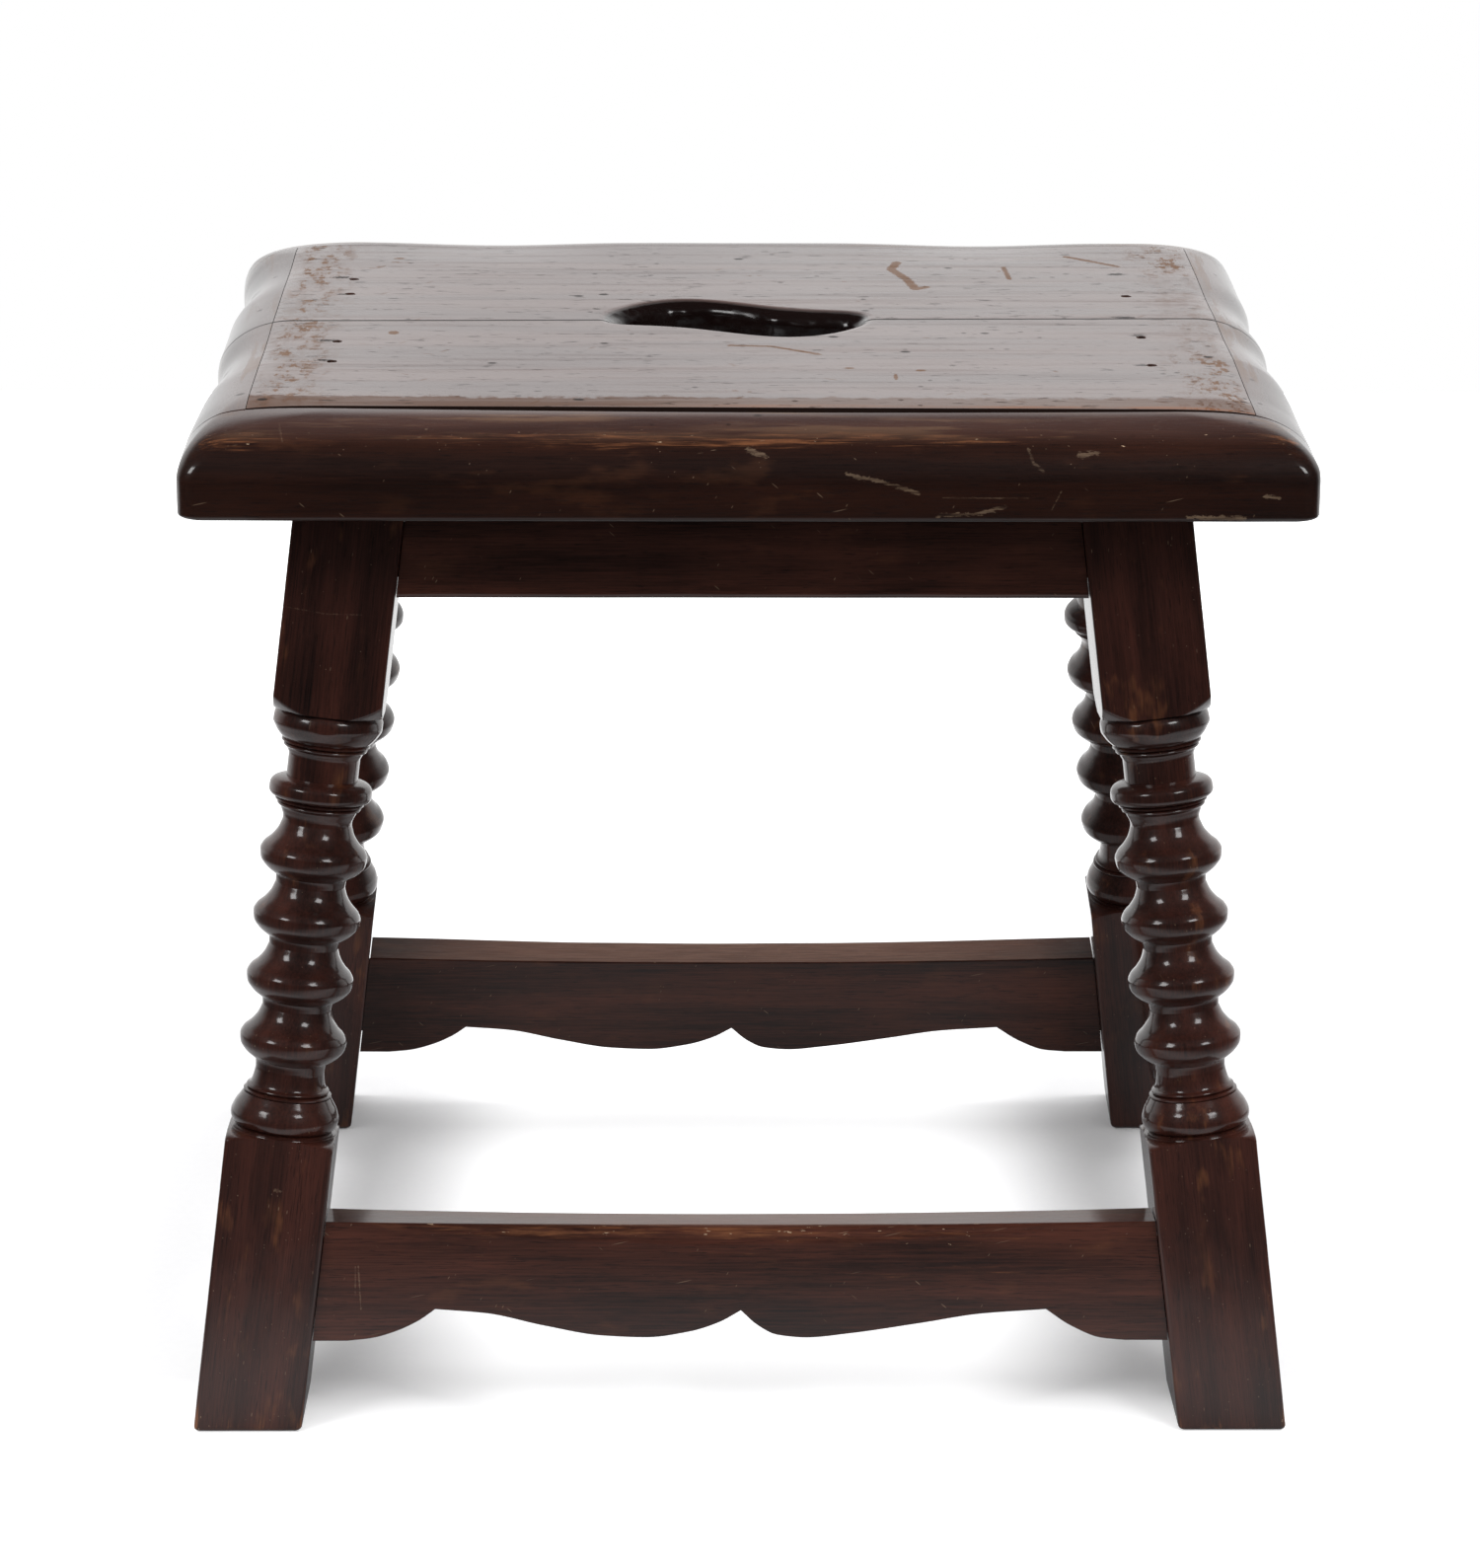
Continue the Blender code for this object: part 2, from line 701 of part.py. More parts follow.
def build_tongues(material):
    middle = SEAT_UNDERSIDE + SEAT_THICKNESS / 2
    half = TONGUE_THICKNESS / 2
    grooves = []
    for name, (start, end) in tongue_lines().items():
        outline = placed(strip(start, end, TONGUE_WIDTH, 0))
        add_object(name, prism(name, outline, middle - half, middle + half), material)
        wider = placed(strip(start, end, TONGUE_WIDTH, JOINT_GAP))
        reach = half + JOINT_GAP
        grooves.append(prism("groove", wider, middle - reach, middle + reach))
    return helper("tongue_grooves", joined("tongue_grooves", grooves))


def slot_outline(grow):
    """The hand-hold in plan: a rounded slot whose middle line sways once to and fro."""
    half_length = SLOT_LENGTH / 2
    upper = []
    lower = []
    for step in range(SLOT_STEPS + 1):
        turn = math.pi * step / SLOT_STEPS
        along = -math.cos(turn)
        width = SLOT_WIDTH / 2 * math.sin(turn) + grow
        middle = -SLOT_SWAY * math.sin(math.pi * along)
        x = SLOT_CENTRE_X + along * (half_length + grow)
        y = SLOT_CENTRE_Y + middle
        if step in (0, SLOT_STEPS):
            upper.append((x, y))
            continue
        upper.append((x, y + width))
        lower.append((x, y - width))
    return upper[::-1] + lower


def slot_cutter():
    low = SEAT_UNDERSIDE
    high = STOOL_HEIGHT
    ease = SLOT_EDGE_ROUND
    middle_out = 1 - math.sqrt(0.5)
    levels = (
        (low - ease, 2 * ease),
        (low, ease),
        (low + middle_out * ease, middle_out * ease),
        (low + ease, 0),
        (high - ease, 0),
        (high - middle_out * ease, middle_out * ease),
        (high, ease),
        (high + ease, 2 * ease),
    )
    loops = [[(x, y, z) for x, y in placed(slot_outline(grow))] for z, grow in levels]
    return helper("hand_hold_cutter", lofted("hand_hold_cutter", loops))


def nail_mesh(name, x, y, grow):
    """A cut nail, or with grow its hole, which is open above the sunk head."""
    head_top = STOOL_HEIGHT - NAIL_SUNK
    tip = head_top - NAIL_LENGTH
    rows = (
        (tip - grow, NAIL_TIP_RADIUS + grow),
        (head_top - NAIL_HEAD_HEIGHT - grow, NAIL_SHANK_RADIUS + grow),
        (head_top - NAIL_HEAD_HEIGHT - grow, NAIL_HEAD_RADIUS + grow),
        (head_top + (CUT_OVERRUN if grow else 0), NAIL_HEAD_RADIUS + grow),
    )
    loops = []
    for height, radius in rows:
        turns = (2 * math.pi * i / NAIL_SIDES for i in range(NAIL_SIDES))
        loops.append([(x + radius * math.cos(turn), y + radius * math.sin(turn), height) for turn in turns])
    return lofted(name, loops)


def build_nails(material):
    """The nails, and one cutter with all their holes."""
    holes = []
    for side, shares in ((-1, LEFT_NAIL_SHARES), (1, RIGHT_NAIL_SHARES)):
        frame = RailFrame(side, False, APRON_THICKNESS)
        top = frame.height_at_level(SEAT_UNDERSIDE, 0)
        middle = frame.origin + frame.up * (top - APRON_HEIGHT / 4)
        for number, share in enumerate(shares, start=1):
            y = share * frame.shoulder(top)
            name = f"{side_name(side, False)}_seat_nail_{number}"
            add_object(name, nail_mesh(name, middle.x, y, 0), material)
            holes.append(nail_mesh("nail_hole", middle.x, y, JOINT_GAP))
    return helper("nail_holes", joined("nail_holes", holes))


def build_seat(grooves, holes, edge_material, board_material):
    slot = slot_cutter()
    slab = slab_mesh()
    margin = CUT_OVERRUN
    for name, plan in seat_plans().items():
        is_board = name.endswith("seat_board")
        piece = add_object(name, slab.copy(), board_material if is_board else edge_material)
        bounds = prism(f"{name}_bounds", placed(plan), SEAT_UNDERSIDE - margin, STOOL_HEIGHT + margin)
        combine(piece, helper(f"{name}_bounds", bounds), "INTERSECT")
        combine(piece, grooves, "DIFFERENCE")
        if is_board:
            combine(piece, slot, "DIFFERENCE")
            combine(piece, holes, "DIFFERENCE")
    bpy.data.meshes.remove(slab)


def main():
    clear_scene()
    turned_wood = finish("stained_turned_wood", WALNUT_BROWN, 0.22)
    rail_wood = finish("stained_rail_wood", WALNUT_BROWN, 0.28)
    edge_wood = finish("stained_seat_edge", WALNUT_BROWN, 0.30)
    board_wood = finish("waxed_seat_board", TOP_BROWN, 0.30)
    tongue_wood = finish("tongue_wood", FRESH_OAK, 0.60)
    iron = finish("old_iron", OLD_IRON, 0.55, 0.9)
    frames = leg_frames()
    envelope = leg_envelope("leg_envelope", frames)
    rails, mortises = build_rails(envelope, rail_wood)
    build_legs(frames, mortises, turned_wood)
    grooves = build_tongues(tongue_wood)
    holes = build_nails(iron)
    for rail in rails:
        if rail.name in ("left_apron", "right_apron"):
            combine(rail, holes, "DIFFERENCE")
    build_seat(grooves, holes, edge_wood, board_wood)


main()
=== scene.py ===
"""Dresses a joined stool in the Jacobean manner: turned legs, cusped stretchers and a waxed seat.

Laid out as an add-on whose operators each make one group of pieces, in metres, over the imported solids.
"""

import math
from functools import reduce

import bmesh
import bpy
import numpy as np
from mathutils import Matrix, Vector, noise


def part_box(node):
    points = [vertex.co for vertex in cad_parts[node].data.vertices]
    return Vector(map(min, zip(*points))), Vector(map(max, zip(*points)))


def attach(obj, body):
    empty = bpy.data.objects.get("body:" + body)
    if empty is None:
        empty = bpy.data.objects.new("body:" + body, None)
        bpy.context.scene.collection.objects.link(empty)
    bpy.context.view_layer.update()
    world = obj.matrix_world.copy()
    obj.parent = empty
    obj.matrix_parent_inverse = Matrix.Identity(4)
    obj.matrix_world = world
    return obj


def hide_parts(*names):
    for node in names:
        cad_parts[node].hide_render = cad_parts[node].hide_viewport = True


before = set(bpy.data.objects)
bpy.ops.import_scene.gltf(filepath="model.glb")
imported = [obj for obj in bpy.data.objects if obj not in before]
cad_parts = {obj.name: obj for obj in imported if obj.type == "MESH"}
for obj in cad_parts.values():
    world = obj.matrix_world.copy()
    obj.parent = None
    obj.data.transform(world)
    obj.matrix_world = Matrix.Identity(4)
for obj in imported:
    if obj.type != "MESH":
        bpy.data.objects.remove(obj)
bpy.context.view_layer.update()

bl_info = {
    "name": "Joined Stool",
    "version": (1, 0, 0),
    "blender": (4, 5, 0),
    "location": "View3D > Sidebar > Stool",
    "description": "Turned legs, cusped stretchers and a waxed seat for a joined stool",
    "category": "Add Mesh",
}

SEAT_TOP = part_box("front_seat_board")[1].z
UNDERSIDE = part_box("front_seat_board")[0].z
ROOT = "root"
GAP = 0.0003

# Turned forms as shares of their own height and radius
RING_SHARES = (
    (-0.500, 0.00), (-0.375, 0.06), (-0.358, 0.16), (-0.240, 0.68), (-0.127, 0.94),
    (0.000, 1.00), (0.100, 0.86), (0.210, 0.50), (0.350, 0.18), (0.500, 0.00),
)
BALL_SHARES = ((0.00, 0.86), (0.10, 0.96), (0.33, 1.00), (0.62, 0.95), (0.84, 0.87), (1.00, 0.81))
CUP_SHARES = ((0.00, 0.78), (0.16, 0.865), (0.37, 0.94), (0.62, 1.00), (0.86, 0.975), (1.00, 0.935))
DISC_SHARES = (
    (0.00, 0.50), (0.14, 0.88), (0.34, 1.00), (0.62, 0.97),
    (0.84, 0.80), (0.95, 0.52), (1.01, 0.20), (1.04, 0.00),
)
BEAD_SHARES = (
    (0.00, 0.890), (0.10, 0.930), (0.26, 0.945), (0.42, 0.925), (0.50, 0.885),
    (0.58, 0.950), (0.70, 1.000), (0.86, 1.000), (1.00, 0.955),
)
LONG_COVE_SHARES = ((0.00, 1.00), (0.06, 0.77), (0.27, 0.47), (0.52, 0.26), (1.00, 0.00))
SHORT_COVE_SHARES = ((0.00, 1.00), (0.10, 0.80), (0.45, 0.45), (0.75, 0.15), (1.00, 0.00))

# Lower edge of a stretcher: place along half the clear span, rise as a share of the cusp's
CUSPED_EDGE_SHARES = (
    (-0.92, 0.00), (-0.865, 0.08), (-0.81, 0.29), (-0.755, 0.65), (-0.72, 1.00), (-0.60, 0.87),
    (-0.46, 0.47), (-0.325, 0.16), (-0.22, 0.10), (-0.12, 0.28), (-0.05, 0.58), (0.0, 0.95),
    (0.04, 0.48), (0.085, 0.18), (0.155, 0.09), (0.25, 0.21), (0.425, 0.55), (0.565, 0.84),
    (0.72, 0.98), (0.775, 0.46), (0.845, 0.07), (0.90, 0.00),
)
CUSP_PLACES = (-0.72, 0.0, 0.72)

# Hollows rubbed in the seat's ends and in its rear edge, as shares of half its depth or length
LEFT_WEAR_SHARES = (-0.22, 0.58)
RIGHT_WEAR_SHARES = (-0.12, 0.27)
REAR_WEAR_SHARES = (-0.485, 0.47)

# Reach of an end's hollow as a share of half the depth, and depth of the left end's long hollow
HOLLOW_REACH = 0.26
LEFT_HOLLOW = 0.0019
# How much fuller the right end is near the front, as a share of its inset, and the waves of every edge
RIGHT_FULLNESS = 0.34
WAVE = 0.0005
# Points along the seat's corners and sides, and the steps from its rounding inwards, where wear fades out
CORNER_STEPS = 14
LENGTH_STEPS = 150
DEPTH_STEPS = 110
TOP_STEPS = (0.002, 0.004, 0.0065, 0.0095, 0.013, 0.017, 0.022, 0.028, 0.036, 0.047, 0.062, 0.080, 0.100)
WEAR_FADE = 0.040

# Nails: places along half of the side apron's clear length
LEFT_NAIL_SHARES = (-0.815, -0.416, 0.593, 0.920)
RIGHT_NAIL_SHARES = (-0.867, -0.308, 0.570)

# Scratches on the seat's top: half width, and a line of points in plan
TOP_SCRATCHES = (
    (0.0017, ((0.0723, 0.1167), (0.0690, 0.1026), (0.0752, 0.0828), (0.0782, 0.0633), (0.0828, 0.0672))),
    (0.0010, ((-0.0045, -0.0425), (0.0128, -0.0442), (0.0323, -0.0580))),
    (0.0012, ((0.1492, 0.1295), (0.1707, 0.1094))),
    (0.0009, ((0.1196, 0.1070), (0.1208, 0.0832))),
)
# Rubbed spots in the seat's top, then its dark filled dents: middle and half sizes in plan
TOP_SPOTS = (
    (-0.1467, -0.0205, 0.0024, 0.0034), (0.0627, -0.0970, 0.0009, 0.0055), (0.0736, -0.0857, 0.0022, 0.0015),
    (0.0440, -0.0821, 0.0022, 0.0014), (-0.1516, 0.1232, 0.0028, 0.0015),
)
TOP_DENTS = (
    (-0.1753, 0.0846, 0.0048, 0.0022), (-0.1710, 0.0515, 0.0042, 0.0018), (-0.1738, -0.0349, 0.0046, 0.0022),
    (-0.1732, -0.0698, 0.0044, 0.0016), (0.1690, 0.0934, 0.0046, 0.0024), (0.1683, -0.0235, 0.0040, 0.0016),
    (0.1657, -0.0761, 0.0040, 0.0014), (0.1655, 0.0095, 0.0062, 0.0020),
)

# Chips and scratches on the front faces: half width, strength, and a line of points left to right and up
FRONT_MARKS = (
    (0.0010, 0.90, ((0.1755, 0.3955), (0.1980, 0.3950))),
    (0.0008, 0.90, ((0.0765, 0.3960), (0.0920, 0.3968), (0.1035, 0.3995))),
    (0.0003, 0.45, ((0.0783, 0.4033), (0.1119, 0.4033))),
    (0.0009, 0.80, ((0.0400, 0.4127), (0.0544, 0.4100), (0.0685, 0.4049))),
    (0.0010, 0.55, ((0.1320, 0.4194), (0.1393, 0.4204))),
    (0.0009, 0.90, ((0.2060, 0.4042), (0.2112, 0.4034))),
    (0.0003, 0.35, ((0.1214, 0.3985), (0.1251, 0.4061))),
    (0.0007, 0.35, ((0.1119, 0.4217), (0.1140, 0.4170), (0.1180, 0.4139))),
    (0.0010, 0.60, ((0.0010, 0.4212), (0.0080, 0.4190))),
    (0.0004, 0.35, ((-0.1846, 0.4281), (-0.1830, 0.4236))),
    (0.0003, 0.60, ((-0.1595, 0.0708), (-0.1586, 0.0520))),
    (0.0003, 0.35, ((-0.1607, 0.0704), (-0.1609, 0.0583))),
    (0.0003, 0.22, ((-0.1855, 0.3464), (-0.1696, 0.3435), (-0.1548, 0.3431))),
    (0.0007, 0.70, ((-0.1932, 0.1041), (-0.1908, 0.1036))),
    (0.0011, 0.70, ((-0.0629, 0.0891), (-0.0572, 0.0873))),
)

# Fine scratches and pits: how they are turned, cells to the metre, and the share of cells that hold one
WOOD_SCRATCHES = (
    ((0.0, 1.05, 0.3), (52, 1000, 1000), 0.016),
    ((0.2, -0.72, 0.0), (66, 950, 950), 0.014),
    ((1.3, 0.10, 0.2), (45, 1100, 1100), 0.014),
)
BOARD_SCRATCHES = (((0.0, 0.0, 0.5), (60, 330, 330), 0.03), ((0.0, 0.0, -0.9), (70, 300, 300), 0.025))
TOP_PITS = (((0.0, 0.0, 0.10), (95, 125, 125), 0.060), ((0.0, 0.0, -0.15), (165, 170, 170), 0.055))

# Gloss that is the same all over a wood
STAINED_GLOSS = {"IOR": 1.5, "Specular IOR Level": 0.12, "Coat Roughness": 0.12, "Coat IOR": 1.47}
BOARD_GLOSS = {"IOR": 1.5, "Specular IOR Level": 0.08, "Coat Roughness": 0.15, "Coat IOR": 1.5}

# Stained woods by slot: colour of the lighter streaks, share of the wax, and how strongly they glow
STAINED_WOODS = {
    "stained_turned_wood": ("turned", 1, 0.40),
    "stained_rail_wood": ("walnut", 0.85, 0.14),
    "stained_seat_edge": ("edge", 0.52, 0.10),
}

# Heights of the coves beside the ball, the disc and the cup, and the spacing of a leg's rows
BALL_COVE = 0.0066
DISC_COVE = 0.0046
CUP_COVE = 0.0030
ROW_SPACING = 0.0012
# Rows along a square block, and points round a leg
BLOCK_STEPS = 34
LEG_COLUMNS = 128

# How far back a tenon begins inside its rail, and a mortise before the leg's face
TENON_ROOT = -0.006
MORTISE_MOUTH = -0.004
# Eased lower outer edge of an apron, and how much of the front stretcher's rubbing the other three have
APRON_EASE = 0.0026
LESS_RUBBED = 0.38
# How far the shapes that cut the seat reach past it
PAST_SEAT = 0.004

# Every rail, in the order in which their wood is cut
RAILS = [f"{side}_{kind}" for kind in ("apron", "stretcher") for side in ("front", "rear", "left", "right")]


def number(name, description, default, **limits):
    return bpy.props.FloatProperty(name=name, description=description, default=default, **limits)


def length(name, description, default):
    return number(name, description, default, precision=4, subtype="DISTANCE", unit="LENGTH")


def share(name, description, default):
    return number(name, description, default, min=0, max=1)


def colour(name, description, default):
    return bpy.props.FloatVectorProperty(
        name=name, description=description, default=default, size=3, min=0, max=1, subtype="COLOR"
    )


class LegSizes(bpy.types.PropertyGroup):
    """Sizes of a turned leg, heights along its own axis from the floor."""

    width: length("Width", "Side of the square blocks", 0.045)
    spread_x: length("Spread along", "Middle of a foot from the stool's middle, left to right", 0.2063)
    spread_y: length("Spread across", "Middle of a foot from the stool's middle, front to rear", 0.1655)
    lean_x: number("Lean along", "Lean per metre of height", 0.122)
    lean_y: number("Lean across", "Lean per metre of height", 0.1395)
    foot_rounding: length("Foot rounding", "Rounding round the foot", 0.003)
    arris: length("Arris", "Rounding along the blocks' edges", 0.0011)
    lower_block: length("Lower block top", "Where the lower block's shoulder begins", 0.1200)
    upper_block: length("Upper block bottom", "Where the upper block's shoulder begins", 0.3102)
    shoulder: length("Shoulder", "Height of the lower block's turned shoulder", 0.0038)
    upper_shoulder: length("Upper shoulder", "Height of the upper block's turned shoulder", 0.0072)
    waist: length("Waist radius", "Radius between two rings", 0.0144)
    neck: length("Neck radius", "Radius above the disc", 0.0148)
    ring: length("Ring radius", "Radius of a ring", 0.0223)
    disc: length("Disc radius", "Radius of the upper disc", 0.0214)
    bead: length("Bead radius", "Radius of the small beads", 0.0184)
    bead_height: length("Bead height", "Height of a pair of small beads", 0.0035)
    cup: length("Cup radius", "Radius of the form under the upper block", 0.0230)
    ball: length("Ball radius", "Radius of the form over the lower block", 0.0226)
    ball_bottom: length("Ball bottom", "Where the ball begins", 0.1251)
    ball_height: length("Ball height", "Height of the ball", 0.0140)
    first_ring: length("First ring", "Middle of the lowest ring", 0.1633)
    pitch: length("Ring pitch", "From one ring to the next", 0.0263)
    rings: bpy.props.IntProperty(name="Rings", description="Number of rings", default=4, min=1, max=8)
    disc_bottom: length("Disc bottom", "Where the disc begins", 0.2650)
    disc_height: length("Disc height", "Height of the disc", 0.0088)
    cup_bottom: length("Cup bottom", "Where the cup begins", 0.2898)
    cup_height: length("Cup height", "Height of the cup", 0.0122)
    handwork: length("Handwork", "Unevenness left by the tools", 0.00022)


class RailSizes(bpy.types.PropertyGroup):
    """Sizes of the aprons and the stretchers, square to their own leaning faces."""

    apron_thickness: length("Apron thickness", "Thickness of an apron", 0.020)
    apron_height: length("Apron height", "Height of an apron", 0.0455)
    thickness: length("Stretcher thickness", "Thickness of a stretcher", 0.022)
    height: length("Stretcher height", "Height of a stretcher", 0.0515)
    bottom: length("Stretcher bottom", "Lower edge of a stretcher over the floor", 0.0360)
    rear_drop: length("Rear drop", "How much lower the rear stretcher sits", 0.0013)
    sag: length("Worn top", "How far feet wore the stretcher's top down", 0.0025)
    rubbed: length("Rubbed edge", "Rounding worn on the front stretcher's upper edge", 0.0080)
    cusp: length("Cusp rise", "Rise of the lower edge at a cusp", 0.0137)
    setback: length("Setback", "How far a rail sits behind the leg's face", 0.0028)
    arris: length("Arris", "Rounding along the edges", 0.0012)
    tenon_thickness: length("Tenon thickness", "Thickness of a tenon", 0.008)
    tenon_length: length("Tenon length", "Length of a tenon", 0.016)
    tenon_shoulder: length("Tenon shoulder", "From the rail's edge to the tenon", 0.008)


class SeatSizes(bpy.types.PropertyGroup):
    """Sizes of the seat and of the pieces that it is joined from."""

    middle_x: length("Middle", "Middle of the seat, left to right", 0.0017)
    length: length("Length", "Left to right", 0.4545)
    depth: length("Depth", "Front to rear", 0.360)
    thickness: length("Thickness", "Thickness of the seat", SEAT_TOP - UNDERSIDE)
    belly: length("Belly", "Height where the seat is widest", 0.015)
    under_round: length("Lower rounding", "Rounding of the lower edge", 0.0026)
    end_round: length("End rounding", "Rounding at the two ends", 0.032)
    edge_round: length("Edge rounding", "Rounding at the front", 0.036)
    rear_round: length("Rear rounding", "Rounding at the rear", 0.026)
    corner: length("Corner radius", "Corner in plan at the widest level", 0.0075)
    softening: length("Corner softening", "Growth of the corner towards the top", 0.030)
    end_wear: length("End wear", "Depth of the hollows rubbed in the ends", 0.0035)
    left_end: length("Left end piece", "Width of the left end pieces", 0.0262)
    right_end: length("Right end piece", "Width of the right end pieces", 0.0242)
    nosing_left: length("Nosing at the left", "Width of the front nosing at the left", 0.0320)
    nosing_right: length("Nosing at the right", "Width of the front nosing at the right", 0.0250)
    nosing_rear: length("Rear nosing", "Width of the rear nosing", 0.0290)
    joint_shift: length("Joint shift", "How far the joint's upper edge lies behind its tongue", 0.0055)
    seam_left: length("Seam at the left", "Place of the seam at the left", 0.0010)
    seam_right: length("Seam at the right", "Place of the seam at the right", 0.0077)
    crack: length("Open joint", "Widest opening of the front joint", 0.0028)
    step: length("Step", "How far the boards stand over the front nosing", 0.0010)
    ledge: length("Worn ledge", "Fall of the boards towards the front joint", 0.0003)
    ledge_width: length("Ledge width", "Width of the worn ledge", 0.017)
    rear_wear: length("Rear wear", "Depth of the hollows rubbed in the rear edge", 0.0018)
    rear_wear_width: length("Rear wear width", "Half width of those hollows", 0.062)
    slot_x: length("Hand-hold place", "Middle of the hand-hold, left to right", -0.0030)
    slot_y: length("Hand-hold depth place", "Middle of the hand-hold, front to rear", 0.0085)
    slot_length: length("Hand-hold length", "Length of the hand-hold", 0.110)
    slot_width: length("Hand-hold width", "Width of the hand-hold", 0.052)
    slot_sway: length("Hand-hold sway", "Sway of its middle line", 0.0088)
    slot_round: length("Hand-hold edge", "Rounding round the hand-hold's lower edge", 0.0042)
    slot_lip: length("Hand-hold lip", "Rounding round the hand-hold's upper edge", 0.0068)
    tongue_thickness: length("Tongue thickness", "Thickness of the loose tongues", 0.006)
    tongue_width: length("Tongue width", "Width of the loose tongues", 0.020)
    tongue_stop: length("Tongue stop", "How far a tongue ends before the joint does", 0.016)


class NailSizes(bpy.types.PropertyGroup):
    """Sizes of the nails that hold the seat."""

    length: length("Length", "Length of a nail", 0.056)
    sunk: length("Sunk", "How far the head lies under the seat's top", 0.0007)
    head: length("Head radius", "Radius of the head", 0.0018)
    head_height: length("Head height", "Height of the head", 0.0012)
    shank: length("Shank radius", "Radius under the head", 0.0017)
    tip: length("Tip radius", "Radius at the tip", 0.0006)


class Finishes(bpy.types.PropertyGroup):
    """Colours and gloss of the woods, the wax and the iron."""

    stain: colour("Stain", "Darkest stained wood", (0.0050, 0.0022, 0.0019))
    walnut: colour("Walnut", "Lighter streaks of the stained wood", (0.094, 0.0275, 0.0160))
    turned: colour("Turned wood", "Lighter streaks of the turned parts", (0.070, 0.0195, 0.0125))
    edge: colour("Seat edge", "Lighter streaks of the seat's edges", (0.031, 0.0092, 0.0048))
    trodden: colour("Trodden", "Stretchers' tops where feet wore them", (0.160, 0.085, 0.060))
    rubbed: colour("Rubbed", "Where hands and feet rubbed the stain thin", (0.170, 0.062, 0.023))
    bare: colour("Bare wood", "Small chips down to the wood", (0.330, 0.230, 0.150))
    top: colour("Seat top", "Stained wood of the seat's top", (0.040, 0.020, 0.018))
    top_light: colour("Seat top streaks", "Lighter streaks of the seat's top", (0.078, 0.040, 0.032))
    ledge: colour("Ledge", "Worn borders of the seat's top", (0.095, 0.054, 0.038))
    worn: colour("Worn top", "Seat's top where the wax is gone", (0.135, 0.078, 0.050))
    tongue: colour("Tongue wood", "Bare oak of the loose tongues", (0.330, 0.190, 0.090))
    iron: colour("Old iron", "Nails where they are bare", (0.060, 0.045, 0.038))
    rust: colour("Rust", "Rust on the nails", (0.120, 0.045, 0.018))
    wax: share("Wax", "Coat of wax and polish", 0.85)
    dull: share("Roughness", "Roughness under the wax", 0.42)


class StudioSettings(bpy.types.PropertyGroup):
    """Floor, lamps and camera."""

    floor: colour("Floor", "Paper floor", (0.86, 0.86, 0.87))
    bounce: colour("Bounce", "Floor near the stool as its gloss shows it", (0.56, 0.56, 0.57))
    fill: share("Fill", "Light of the floor near the stool over what the lamps give", 0.03)
    sky: number("Sky", "Even light of the room", 1.0)
    front_power: number("Front lamps", "Power of each front lamp", 13)
    side_power: number("Side lamps", "Power of each side lamp", 20)
    backdrop: number("Backdrop", "Light of the backdrop", 1.06)
    room: number("Room", "Light of the dark side of the room", 0.010)
    lens: number("Lens", "Focal length in millimetres", 121.8)


SETTINGS = {
    "stool_legs": LegSizes,
    "stool_rails": RailSizes,
    "stool_seat": SeatSizes,
    "stool_nails": NailSizes,
    "stool_finishes": Finishes,
    "stool_studio": StudioSettings,
}


def operation(name, reflected=False):
    """A method of Term that adds one Math node, with the other value first where it is reflected."""

    def method(term, *others):
        values = (*others, term) if reflected else (term, *others)
        return term.graph.add("ShaderNodeMath", {"operation": name}, dict(enumerate(values)))

    return method


class Term:
    """A socket of a node tree, so that sums of sockets and numbers read as plain maths."""

    def __init__(self, graph, socket):
        self.graph = graph
        self.socket = socket

    __add__ = __radd__ = operation("ADD")
    __mul__ = __rmul__ = operation("MULTIPLY")
    __sub__ = operation("SUBTRACT")
    __rsub__ = operation("SUBTRACT", reflected=True)
    __truediv__ = operation("DIVIDE")
    __rtruediv__ = operation("DIVIDE", reflected=True)
    __abs__ = operation("ABSOLUTE")
    least = operation("MINIMUM")
    most = operation("MAXIMUM")
    over = operation("GREATER_THAN")
    floor = operation("FLOOR")
    nearest = operation("ROUND")
    sine = operation("SINE")
    cosine = operation("COSINE")
    root = operation("SQRT")

    def __neg__(self):
        return 0 - self

    def limited(self):
        """The value, kept from 0 to 1."""
        return self.graph.add("ShaderNodeMath", {"operation": "ADD", "use_clamp": True}, {0: self, 1: 0})

    def rise(self, low, high):
        """0 below low, 1 above high, smooth between them; the other way round when low is above high."""
        inputs = {"Value": self, "From Min": low, "From Max": high}
        return self.graph.add("ShaderNodeMapRange", {"interpolation_type": "SMOOTHSTEP"}, inputs)


